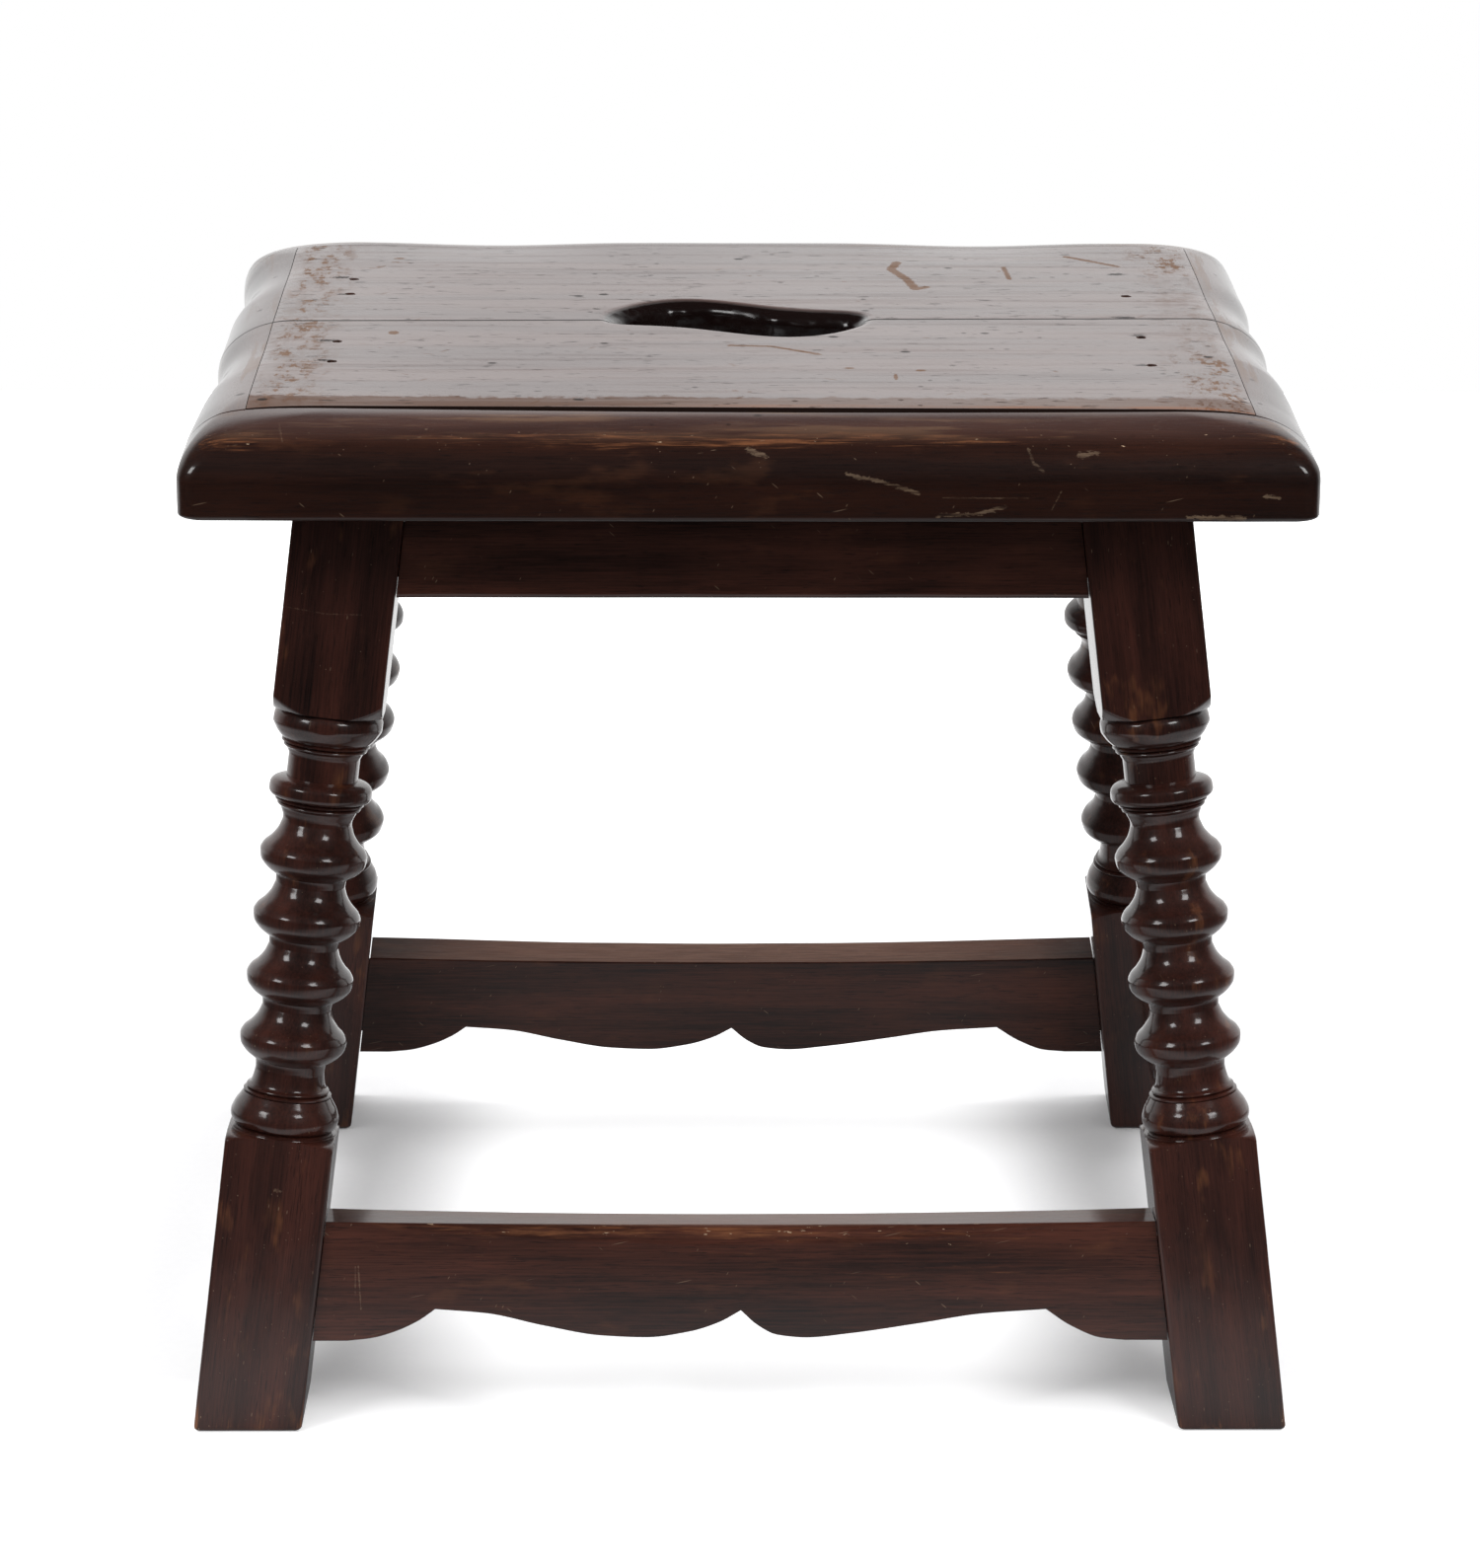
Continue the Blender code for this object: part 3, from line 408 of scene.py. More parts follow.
class Graph:
    """Adds nodes to a material's, a world's or a geometry tree."""

    def __init__(self, tree):
        self.tree = tree
        tree.nodes.clear()

    def add(self, kind, settings=None, inputs=None, output=0):
        """One node: its type, its settings, then the values or links of its sockets."""
        node = self.tree.nodes.new(kind)
        for key, value in (settings or {}).items():
            setattr(node, key, value)
        for key, value in (inputs or {}).items():
            self.feed(node.inputs[key], value)
        return Term(self, node.outputs[output]) if len(node.outputs) else node

    def feed(self, socket, value):
        if isinstance(value, Term):
            self.tree.links.new(value.socket, socket)
        elif socket.type == "RGBA":
            socket.default_value = (*value[:3], 1)
        else:
            socket.default_value = value

    def place(self):
        """The point's place in the object's own coordinates."""
        return self.add("ShaderNodeTexCoord", output=3)

    def blend(self, factor, first, second):
        """One colour laid over another."""
        return self.add("ShaderNodeMix", {"data_type": "RGBA"}, {0: factor, 6: first, 7: second}, output=2)

    def bump(self, strength, distance, height, under=None):
        """Relief from a height, over other relief where there is some."""
        inputs = {"Strength": strength, "Distance": distance, "Height": height}
        return self.add("ShaderNodeBump", None, {**inputs, "Normal": under} if under else inputs)

    def vector(self, operation, *values, output=0):
        return self.add("ShaderNodeVectorMath", {"operation": operation}, dict(enumerate(values)), output)

    def point(self, x=0, y=0, z=0):
        return self.add("ShaderNodeCombineXYZ", None, {0: x, 1: y, 2: z})

    def parts(self, vector):
        """The three numbers of a vector."""
        split = self.add("ShaderNodeSeparateXYZ", None, {0: vector}).socket.node
        return [Term(self, socket) for socket in split.outputs]

    def noise(self, place, stretch, detail=2.0, roughness=0.5):
        where = self.vector("MULTIPLY", place, stretch)
        inputs = {"Vector": where, "Scale": 1.0, "Detail": detail, "Roughness": roughness}
        return self.add("ShaderNodeTexNoise", None, inputs)

    def scratches(self, place, directions):
        """Short straight lines or pits of several directions, joined one by one to keep the shader small."""

        def one_way(turn, size, wanted):
            turning = {"Vector": place, "Rotation": turn}
            turned = self.add("ShaderNodeVectorRotate", {"rotation_type": "EULER_XYZ"}, turning)
            spread = self.vector("MULTIPLY", turned, size)
            cells = self.add("ShaderNodeTexVoronoi", None, {"Vector": spread, "Scale": 1.0})
            chance, _, strength = self.parts(Term(self, cells.socket.node.outputs["Color"]))
            return cells.rise(0.27, 0.13) * chance.over(1 - wanted) * (strength * 0.7 + 0.3)

        return reduce(Term.most, (one_way(*direction) for direction in directions))

    def attribute(self, name, output=1):
        settings = {"attribute_type": "GEOMETRY", "attribute_name": name}
        return self.add("ShaderNodeAttribute", settings, None, output)

    def spot_distance(self, place, spots, wander):
        """Distance in plan to the nearest of some spots, 1 at a spot's edge."""

        def away(x, y, wide, deep):
            offset = self.vector("MULTIPLY_ADD", place, (1 / wide, 1 / deep, 0), (-x / wide, -y / deep, 0))
            return self.vector("LENGTH", offset, output=1)

        return reduce(Term.least, (away(*spot) for spot in spots)) + wander

    def line_distance(self, place, points, wander):
        """Distance to a line of points, made uneven by wander."""

        def away(start, end):
            run = Vector(end) - Vector(start)
            offset = self.vector("SUBTRACT", place, start)
            along = self.vector("DOT_PRODUCT", offset, tuple(run / run.length_squared), output=1).limited()
            foot = self.add("ShaderNodeVectorMath", {"operation": "SCALE"}, {0: tuple(run), "Scale": along})
            return self.vector("DISTANCE", offset, foot, output=1)

        return reduce(Term.least, (away(*ends) for ends in zip(points, points[1:]))) + wander

    def seen(self):
        """1 for what the camera sees, also through glass, and 0 for light and reflections."""
        rays = self.add("ShaderNodeLightPath").socket.node
        return Term(self, rays.outputs["Is Camera Ray"]).most(Term(self, rays.outputs["Is Transmission Ray"]))


def surface(graph, constants, **links):
    """The principled shader and the output: constants on its own sockets, what varies linked."""
    varying = {key.replace("_", " "): value for key, value in links.items()}
    shader = graph.add("ShaderNodeBsdfPrincipled", None, {**constants, **varying})
    graph.add("ShaderNodeOutputMaterial", None, {"Surface": shader})


def stained_wood(graph, finishes, light, wax, glow, is_seat):
    """Dark stained hardwood under wax, its grain along the piece, rubbed lighter where the piece says so."""
    place = graph.place()
    grain = graph.attribute("grain")
    rub = graph.attribute("rub", output=2) * (0.76 if is_seat else 1.15)
    figure = graph.noise(grain, (6, 70, 70), 3)
    fibre = graph.noise(grain, (34, 1300, 1300), 3, 0.6)
    fleck = graph.noise(grain, (120, 2600, 2600), 1).rise(0.60, 0.70)
    cloud = graph.noise(grain, (13, 26, 26), 3)
    streak = graph.noise(grain, (42, 900, 900), 5, 0.72)
    patch = graph.noise(grain, (10, 95, 95), 4, 0.60)
    dent = graph.noise(grain, (110, 150, 150), 2)
    tone = figure.rise(0.34, 0.68) * 0.36 + (fibre - 0.5) * 0.75 + (cloud - 0.5) * 0.6 + 0.22
    colour = graph.blend(tone.limited(), finishes.stain, light)
    colour = graph.blend(fleck * 0.6, colour, finishes.stain)
    ember = (graph.noise(grain, (38, 95, 95), 3) + streak * 0.25).rise(0.70, 0.86) * glow
    worn = (streak * 0.95 + patch * 0.9 + rub * 0.42).rise(1.24, 1.62)
    colour = graph.blend(worn.most(ember * cloud.rise(0.40, 0.56)), colour, finishes.rubbed)
    chip = (graph.noise(grain, (170, 620, 620), 3, 0.6) + rub * 0.13).rise(0.800, 0.830) * rub.rise(0.3, 0.7)
    scratch = graph.scratches(grain, WOOD_SCRATCHES)
    ragged = graph.noise(grain, (330, 900, 900), 3, 0.7) - 0.5
    mark = front_marks(graph, place, ragged) * streak.rise(0.36, 0.60)
    colour = graph.blend(chip.most(scratch * 0.30).most(mark * 0.42), colour, finishes.bare)
    tread = graph.attribute("tread", output=2) * (0.55 + streak.rise(0.35, 0.65) * 0.45)
    colour = graph.blend(tread, colour, finishes.trodden)
    rough = finishes.dull - 0.08 + fibre * 0.10 + cloud * 0.08 + chip * 0.3
    coat = wax * (1.15 - cloud * 0.3) - chip * 0.5 - scratch * 0.2 - mark * 0.5 - tread * 0.35
    if is_seat:
        seat = bpy.context.scene.stool_seat
        x, y, z = graph.parts(place)
        up = z.rise(SEAT_TOP - 0.010, SEAT_TOP - 0.0015)
        streaks = top_colour(graph, finishes, figure, fibre)
        blotch = patch.rise(0.49, 0.56) * figure.rise(0.42, 0.58)
        top = graph.blend((worn * 0.4).most(blotch * 0.8), streaks, finishes.worn)
        colour = graph.blend(up * 0.75, colour, top)
        seam_line = abs(y - graph_seam(x)).rise(0.0012, 0.0005)
        pit = (graph.scratches(place, TOP_PITS) * up * 0.8).most(seam_line * 0.9)
        colour = graph.blend(pit, colour, finishes.stain)
        end = seat.length / 2
        at_end = abs(x - seat.middle_x).rise(end - 0.036, end - 0.024)
        coat = coat + up.most(at_end) * (0.88 - coat) - pit * 0.7 - blotch * up * 0.30
    height = fibre * 0.35 + figure * 0.8 + dent * 3.0 - fleck * 0.5 - chip * 0.8 - scratch * 0.5
    relief = graph.bump(0.35, 0.00022, height)
    coat = coat.limited()
    surface(graph, STAINED_GLOSS, Base_Color=colour, Roughness=rough, Coat_Weight=coat, Normal=relief)


def top_colour(graph, finishes, figure, fibre):
    """Stain of the seat's top, lighter in streaks."""
    tone = (figure.rise(0.35, 0.66) * 0.6 + fibre * 0.55 - 0.1).limited()
    return graph.blend(tone, finishes.top, finishes.top_light)


def front_marks(graph, place, wander):
    """Mask of the marks on the front faces, broken up by the grain."""
    flat = graph.vector("MULTIPLY", place, (1, 0, 1))

    def mark(width, strength, points):
        ends = [(x, 0, z) for x, z in points]
        return graph.line_distance(flat, ends, wander * (width * 4.5)).rise(width, width * 0.5) * strength

    mask = reduce(Term.most, (mark(*values) for values in FRONT_MARKS))
    return mask * graph.parts(place)[1].rise(-0.125, -0.135)


def seat_marks(graph, place, x, y, streak):
    """Way behind the front joint, and masks of the worn patches, the ledge and the rubbed line behind it."""
    seat = bpy.context.scene.stool_seat
    half_x = seat.length / 2
    run = 2 * half_x - seat.left_end - seat.right_end
    left = x - (seat.middle_x - half_x + seat.left_end)
    right = (seat.middle_x + half_x - seat.right_end) - x
    slope = (seat.nosing_left - seat.nosing_right) / run
    moved = seat.joint_shift * (0.55 + left * (0.55 / run))
    front = y + seat.depth / 2 - (seat.nosing_left - left * slope) - moved
    blot = graph.noise(place, (105, 58, 58), 5, 0.70)
    beside_left = left.rise(0.000, 0.009) * left.rise(0.036, 0.014)
    beside_right = right.rise(0.000, 0.006) * right.rise(0.036, 0.012)
    spread_right = (y.rise(0.075, 0.110) + y.rise(-0.045, -0.075)).limited()
    patch = (beside_left + beside_right * (0.35 + spread_right * 0.65)) * blot.rise(0.50, 0.54)
    wavy = front + (blot - 0.5) * 0.016 + (streak - 0.5) * 0.010
    ledge = front.rise(-0.001, 0.001) * wavy.rise(0.0165, 0.0140)
    ledge = ledge * (0.72 + streak.rise(0.35, 0.7) * 0.28)
    gutter = front.rise(0.0004, 0.0012) * front.rise(0.006, 0.002)
    gutter = gutter * streak.rise(0.38, 0.60) * x.rise(-0.06, 0.02)
    patch = patch * streak.rise(0.36, 0.50) * graph.noise(place, (330, 170, 170), 3, 0.65).rise(0.40, 0.54)
    soft = (beside_left + beside_right * 0.6) * blot.rise(0.38, 0.58) * 0.24
    return front, patch.most(soft), ledge, gutter


def board_wood(graph, finishes):
    """The seat's top boards: a waxed grey-brown sheen, worn near the borders, scratched and pitted."""
    grain = graph.attribute("grain")
    place = graph.place()
    x, y, z = graph.parts(place)
    figure = graph.noise(grain, (4, 48, 48), 3)
    fibre = graph.noise(grain, (30, 1000, 1000), 3, 0.6)
    dash = graph.noise(grain, (95, 430, 430), 3, 0.6).rise(0.625, 0.67)
    cloud = graph.noise(grain, (12, 24, 24), 3)
    streak = graph.noise(grain, (18, 340, 340), 4, 0.65)
    front, patch, ledge, gutter = seat_marks(graph, place, x, y, streak)
    colour = top_colour(graph, finishes, figure, fibre)
    ragged = (graph.noise(place, (900, 900, 900), 2) - 0.5) * 0.0024
    flat = graph.vector("MULTIPLY", place, (1, 1, 0))

    def line(width, points):
        away = graph.line_distance(flat, [(*point, 0) for point in points], ragged)
        return away.rise(width * 1.5, width * 0.9)

    scratch = reduce(Term.most, (line(*values) for values in TOP_SCRATCHES))
    fine = graph.scratches(grain, BOARD_SCRATCHES)
    speck = graph.noise(place, (80, 110, 80), 3, 0.6).rise(0.725, 0.755)
    scratch = scratch.most(graph.spot_distance(place, TOP_SPOTS, ragged * 400).rise(1.1, 0.8))
    bare = patch.most(scratch * 0.9).most(speck * 0.6).most(fine * 0.5).limited()
    colour = graph.blend(bare, colour, finishes.worn)
    colour = graph.blend(ledge * 0.95, colour, finishes.ledge)
    colour = graph.blend(gutter * 0.7, colour, finishes.rubbed)
    band = graph.noise(grain, (7, 210, 210), 4, 0.7)
    pit = graph.scratches(place, TOP_PITS)
    pit = pit.most(graph.spot_distance(place, TOP_DENTS, ragged * 900).rise(1.0, 0.6))
    seam_line = abs(y - graph_seam(x)).rise(0.0013, 0.0006)
    dark = (dash * 0.6).most(pit * 0.9).most(seam_line).most(front.rise(0.0007, 0.0001) * 0.9)
    inside = z.rise(SEAT_TOP - 0.0001, SEAT_TOP - 0.0010) * abs(y).rise(0.10, 0.09) * abs(x).rise(0.10, 0.08)
    colour = graph.blend(dark.most(inside), colour, finishes.stain)
    rough = 0.30 + fibre * 0.10 + bare * 0.25 + ledge * 0.12 + cloud * 0.06 - inside * 0.1
    coat = 1.0 - bare * 0.88 - dark * 0.9 - ledge * (0.58 + x.rise(0.02, -0.12) * 0.36)
    coat = coat - band.rise(0.46, 0.74) * 0.38 - x.rise(0.04, -0.06) * x.rise(-0.18, -0.10) * 0.12
    relief = graph.bump(0.25, 0.00018, fibre * 0.3 + figure - dark * 0.6 - bare * 0.5)
    carved = graph.noise(place, (62, 80, 85), 2) * inside
    relief = graph.bump(0.8, 0.0050, carved, relief)
    coat = coat.limited()
    surface(graph, BOARD_GLOSS, Base_Color=colour, Roughness=rough, Coat_Weight=coat, Normal=relief)


def graph_seam(x):
    """The seam between the two boards, as a place along the depth for a place along the length."""
    seat = bpy.context.scene.stool_seat
    left = seat.middle_x - seat.length / 2 + seat.left_end
    run = seat.length - seat.left_end - seat.right_end
    return seat.seam_left + (x - left) * ((seat.seam_right - seat.seam_left) / run)


def plain_wood(graph, finishes):
    """Bare oak of the loose tongues."""
    place = graph.place()
    fibre = graph.noise(place, (60, 900, 900), 3, 0.6)
    band = graph.noise(place, (9, 130, 130), 3)
    colour = graph.blend((fibre * 0.6 + band * 0.6 - 0.1).limited(), finishes.tongue, finishes.bare)
    relief = graph.bump(0.4, 0.0003, fibre)
    surface(graph, {"IOR": 1.5}, Base_Color=colour, Roughness=0.5 + fibre * 0.3, Normal=relief)


def rusted_iron(graph, finishes):
    """Nails gone dark with rust."""
    rust = graph.noise(graph.place(), (900, 900, 900), 4, 0.6)
    colour = graph.blend(rust.rise(0.40, 0.65), finishes.iron, finishes.rust)
    relief = graph.bump(0.6, 0.0002, rust)
    metal = rust.rise(0.62, 0.42) * 0.9
    surface(graph, {"IOR": 1.5}, Base_Color=colour, Roughness=0.4 + rust * 0.4, Metallic=metal, Normal=relief)


def new_material(name):
    material = bpy.data.materials.new(name)
    material.use_nodes = True
    return material, Graph(material.node_tree)


def finish_for(slot):
    """The one material of each of the record's slots, made the first time that it is asked for."""
    name = f"finish_{slot}"
    material = bpy.data.materials.get(name)
    if material is None:
        material, graph = new_material(name)
        finishes = bpy.context.scene.stool_finishes
        if slot in STAINED_WOODS:
            light, wax, glow = STAINED_WOODS[slot]
            is_seat = slot == "stained_seat_edge"
            stained_wood(graph, finishes, getattr(finishes, light), finishes.wax * wax, glow, is_seat)
        else:
            others = {"waxed_seat_board": board_wood, "tongue_wood": plain_wood, "old_iron": rusted_iron}
            others[slot](graph, finishes)
    return material


def smooth_line(points, spacing):
    """Points on a monotone curve through the given ones, about one spacing apart."""
    across = np.array([point[0] for point in points])
    value = np.array([point[1] for point in points])
    run = np.diff(across)
    slope = np.diff(value) / run
    tangent = np.zeros(len(points))
    tangent[0] = slope[0]
    tangent[-1] = slope[-1]
    for i in range(1, len(points) - 1):
        if slope[i - 1] * slope[i] > 0:
            first = 2 * run[i] + run[i - 1]
            second = run[i] + 2 * run[i - 1]
            tangent[i] = (first + second) / (first / slope[i - 1] + second / slope[i])
    result = []
    for i in range(len(run)):
        steps = max(2, math.ceil(run[i] / spacing))
        for step in range(steps):
            t = step / steps
            a = (1 + 2 * t) * (1 - t) ** 2 * value[i] + t * (1 - t) ** 2 * run[i] * tangent[i]
            b = t * t * (3 - 2 * t) * value[i + 1] + t * t * (t - 1) * run[i] * tangent[i + 1]
            result.append((across[i] + t * run[i], a + b))
    result.append((across[-1], value[-1]))
    return result


def mix(first, second, part):
    return first + (second - first) * part


def held(value):
    """A number, kept from 0 to 1."""
    return min(1.0, max(0.0, value))


def quarter(steps):
    """Even angles over a quarter turn, both ends included."""
    return [math.pi / 2 * step / steps for step in range(steps + 1)]


def own_axes(origin, *axes):
    """The matrix from a piece's own three axes to the stool's."""
    return Matrix.Translation(origin) @ Matrix(axes).transposed().to_4x4()


def new_object(name, mesh, material=None):
    obj = bpy.data.objects.new(name, mesh)
    bpy.context.scene.collection.objects.link(obj)
    if material is not None:
        mesh.materials.clear()
        mesh.materials.append(material)
    return obj


def plain_mesh(name, bm):
    mesh = bpy.data.meshes.new(name)
    bm.to_mesh(mesh)
    bm.free()
    return mesh


def lofted(name, loops):
    """A closed mesh through loops of as many points each, with a flat cap at either end."""
    bm = bmesh.new()
    rows = [[bm.verts.new(point) for point in loop] for loop in loops]
    count = len(rows[0])
    for low, high in zip(rows, rows[1:]):
        for i in range(count):
            j = (i + 1) % count
            bm.faces.new((low[i], low[j], high[j], high[i]))
    bm.faces.new(rows[0][::-1])
    bm.faces.new(rows[-1])
    bmesh.ops.recalc_face_normals(bm, faces=bm.faces)
    return plain_mesh(name, bm)


def joined(name, meshes):
    bm = bmesh.new()
    for mesh in meshes:
        bm.from_mesh(mesh)
        bpy.data.meshes.remove(mesh)
    return plain_mesh(name, bm)


def combine(obj, mesh, operation):
    """Adds a cut or a union with a mesh, and gives the object that holds the mesh."""
    tool = new_object(mesh.name, mesh)
    modifier = obj.modifiers.new(operation.lower(), "BOOLEAN")
    modifier.operation = operation
    modifier.solver = "EXACT"
    modifier.object = tool
    return tool


def make_plain(obj):
    """Turns an object's modifiers into plain mesh."""
    evaluated = obj.evaluated_get(bpy.context.evaluated_depsgraph_get())
    plain = bpy.data.meshes.new_from_object(evaluated)
    old = obj.data
    obj.modifiers.clear()
    obj.data = plain
    bpy.data.meshes.remove(old)


def settle(obj, tools=(), angle=35.0):
    """Turns an object's modifiers into plain mesh, takes its tools away and shades it."""
    make_plain(obj)
    for tool in tools:
        bpy.data.objects.remove(tool, do_unlink=True)
    obj.data.shade_smooth()
    obj.data.set_sharp_from_angle(angle=math.radians(angle))
    obj.modifiers.new("even_normals", "WEIGHTED_NORMAL").keep_sharp = True
    make_plain(obj)


def points_of(mesh):
    flat = np.empty(len(mesh.vertices) * 3, np.float32)
    mesh.vertices.foreach_get("co", flat)
    return flat.reshape(-1, 3).astype(float)


def set_attribute(mesh, name, kind, values):
    attribute = mesh.attributes.get(name) or mesh.attributes.new(name, kind, "POINT")
    field = "vector" if kind == "FLOAT_VECTOR" else "value"
    attribute.data.foreach_set(field, np.ascontiguousarray(values, np.float32).ravel())


def set_grain(mesh, matrix, order, shift):
    """Stores each point in the piece's own axes, grain first, so that the pattern follows the piece."""
    inverse = np.array(matrix.inverted())
    own = points_of(mesh) @ inverse[:3, :3].T + inverse[:3, 3]
    set_attribute(mesh, "grain", "FLOAT_VECTOR", own[:, list(order)] + np.array(shift))
    return own


def shift_for(number):
    """A place in the wood for each piece, so that no two pieces have the same figure."""
    return (0.137 * number, 0.083 * number, 0.059 * number)


def hand_piece(obj, slot, *nodes):
    """Hands a finished piece to the frame."""
    obj.data.materials.clear()
    obj.data.materials.append(finish_for(slot))
    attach(obj, ROOT)
    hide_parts(*nodes)


class LegPlace:
    """Where one leg stands: side_x is -1 at the left, side_y is -1 at the front."""

    def __init__(self, side_x, side_y):
        sizes = bpy.context.scene.stool_legs
        self.name = f"{'front' if side_y < 0 else 'rear'}_{'left' if side_x < 0 else 'right'}_leg"
        self.foot = Vector((side_x * sizes.spread_x, side_y * sizes.spread_y, 0))
        self.axis = Vector((-side_x * sizes.lean_x, -side_y * sizes.lean_y, 1)).normalized()
        self.across = (Vector((1, 0, 0)) - self.axis * self.axis.x).normalized()
        self.back = self.axis.cross(self.across)
        self.matrix = own_axes(self.foot, self.across, self.back, self.axis)


class RailPlace:
    """A rail's own axes and levels: along it, through its thickness, and up its leaning face."""

    def __init__(self, name):
        legs = bpy.context.scene.stool_legs
        rails = bpy.context.scene.stool_rails
        word, kind = name.split("_")
        self.name = name
        self.is_apron = kind == "apron"
        self.along_x = word in ("front", "rear")
        side = -1 if word in ("front", "left") else 1
        self.thickness = rails.apron_thickness if self.is_apron else rails.thickness
        spread = legs.spread_y if self.along_x else legs.spread_x
        lean = legs.lean_y if self.along_x else legs.lean_x
        inward = Vector((0, -side, 0)) if self.along_x else Vector((-side, 0, 0))
        self.along = Vector((1, 0, 0)) if self.along_x else Vector((0, 1, 0))
        self.up = (inward * lean + Vector((0, 0, 1))).normalized()
        self.through = self.up.cross(self.along)
        outward = self.through if self.through.dot(inward) < 0 else -self.through
        self.outward_sign = 1 if outward == self.through else -1
        self.origin = outward * (legs.width / 2 - rails.setback - self.thickness / 2) - inward * spread
        self.matrix = own_axes(self.origin, self.along, self.through, self.up)
        self.ends = [LegPlace(end, side) if self.along_x else LegPlace(side, end) for end in (-1, 1)]
        self.half = legs.width / 2 + GAP
        shoulder = rails.tenon_shoulder
        if self.is_apron:
            self.top = self.height_at_level(UNDERSIDE - GAP, 0)
            self.bottom = self.top - rails.apron_height
            self.tenon_levels = (self.bottom + shoulder, self.top - 2 * shoulder)
        else:
            self.bottom = rails.bottom - (rails.rear_drop if word == "rear" else 0)
            self.top = self.bottom + rails.height
            self.tenon_levels = (self.bottom + shoulder, self.top - shoulder)

    def height_at_level(self, level, through):
        return (level - self.origin.z - through * self.through.z) / self.up.z

    def reach(self, through, height, further=0.0):
        """Where the rail meets the two legs' inner faces, at a place in its section."""
        base = self.origin + self.through * through + self.up * height
        places = []
        for end, leg in zip((-1, 1), self.ends):
            normal = leg.across if self.along_x else leg.back
            wanted = -end * (self.half - further)
            places.append((wanted - (base - leg.foot).dot(normal)) / self.along.dot(normal))
        return places


def turned_rows(s):
    """Height along the axis and radius, from the lower block's shoulder to the upper block's."""
    half = s.width / 2
    fine = 0.00035
    rows = []

    def form(bottom, height, low, high, shares, upward=True):
        curve = smooth_line(shares, fine / height)
        if not upward:
            curve = [(1 - at, value) for at, value in curve][::-1]
        rows.extend((bottom + height * at, mix(low, high, value)) for at, value in curve)

    def shoulder(corner, direction, tall):
        turned = []
        for turn in quarter(12):
            reach = mix(half - GAP, half * math.sqrt(2), math.cos(turn))
            if direction < 0:
                reach = half * mix(math.sqrt(2), 1.10, math.sin(turn) ** 1.3)
            turned.append((corner + direction * tall * math.sin(turn), reach))
        rim = turned[-1][0]
        for deep, up in ((0.0004, 0.0002), (0.0020, 0.0004), (0.0020, 0.0009)):
            turned.append((rim + direction * up, half - deep))
        return turned if direction > 0 else turned[::-1]

    rim = s.bead * BEAD_SHARES[0][1]
    rows += shoulder(s.lower_block, 1, s.shoulder)
    form(s.ball_bottom, s.ball_height, 0, s.ball, BALL_SHARES)
    bead_bottom = s.ball_bottom + s.ball_height
    form(bead_bottom, s.bead_height, 0, s.bead, BEAD_SHARES, upward=False)
    form(bead_bottom + s.bead_height, BALL_COVE, s.waist, rim, LONG_COVE_SHARES)
    for ring in range(s.rings):
        form(s.first_ring + s.pitch * ring, s.pitch, s.waist, s.ring, RING_SHARES)
    for bottom, height, low, high, shares, cove, narrow in (
        (s.disc_bottom, s.disc_height, s.neck, s.disc, DISC_SHARES, DISC_COVE, s.waist),
        (s.cup_bottom, s.cup_height, 0, s.cup, CUP_SHARES, CUP_COVE, s.neck),
    ):
        bead_bottom = bottom - s.bead_height
        form(bead_bottom - cove, cove, narrow, rim, SHORT_COVE_SHARES, upward=False)
        form(bead_bottom, s.bead_height, 0, s.bead, BEAD_SHARES)
        form(bottom, height, low, high, shares)
    rows += shoulder(s.upper_block, -1, s.upper_shoulder)
    ordered = [rows[0]]
    for height, radius in rows[1:]:
        last_height, last_radius = ordered[-1]
        if height < last_height - 1e-9:
            continue
        steps = max(1, math.ceil((height - last_height) / ROW_SPACING))
        for step in range(1, steps + 1):
            ordered.append((mix(last_height, height, step / steps), mix(last_radius, radius, step / steps)))
    return ordered


def leg_profile(place):
    """The turner's pattern as a line of points: radius limit, inset, height, and how far a row is level."""
    s = bpy.context.scene.stool_legs
    half = s.width / 2
    wide = s.width
    top = (UNDERSIDE - GAP) / place.axis.z
    fade = 0.045
    rows = [(part * half, s.foot_rounding, 0.0, 1.0) for part in (0, 0.3, 0.6)]
    for turn in quarter(6):
        inset = s.foot_rounding * (1 - math.sin(turn))
        rows.append((wide, inset, s.foot_rounding * (1 - math.cos(turn)), 1.0))
    start = s.foot_rounding
    for step in range(1, BLOCK_STEPS):
        height = mix(start, s.lower_block, step / BLOCK_STEPS)
        rows.append((wide, 0.0, height, max(0.0, 1 - (height - start) / fade)))
    rows += [(radius, 0.0, height, 0.0) for height, radius in turned_rows(s)]
    for step in range(1, BLOCK_STEPS):
        height = mix(s.upper_block, top, step / BLOCK_STEPS)
        rows.append((wide, 0.0, height, max(0.0, 1 - (top - height) / fade)))
    rows.append((wide, 0.0, top, 1.0))
    rows += [(part * half, 0.0, top, 1.0) for part in (0.6, 0.3, 0)]
    mesh = bpy.data.meshes.new("turning_pattern")
    mesh.from_pydata([row[:3] for row in rows], [(i, i + 1) for i in range(len(rows) - 1)], [])
    set_attribute(mesh, "level", "FLOAT", [row[3] for row in rows])
    return mesh


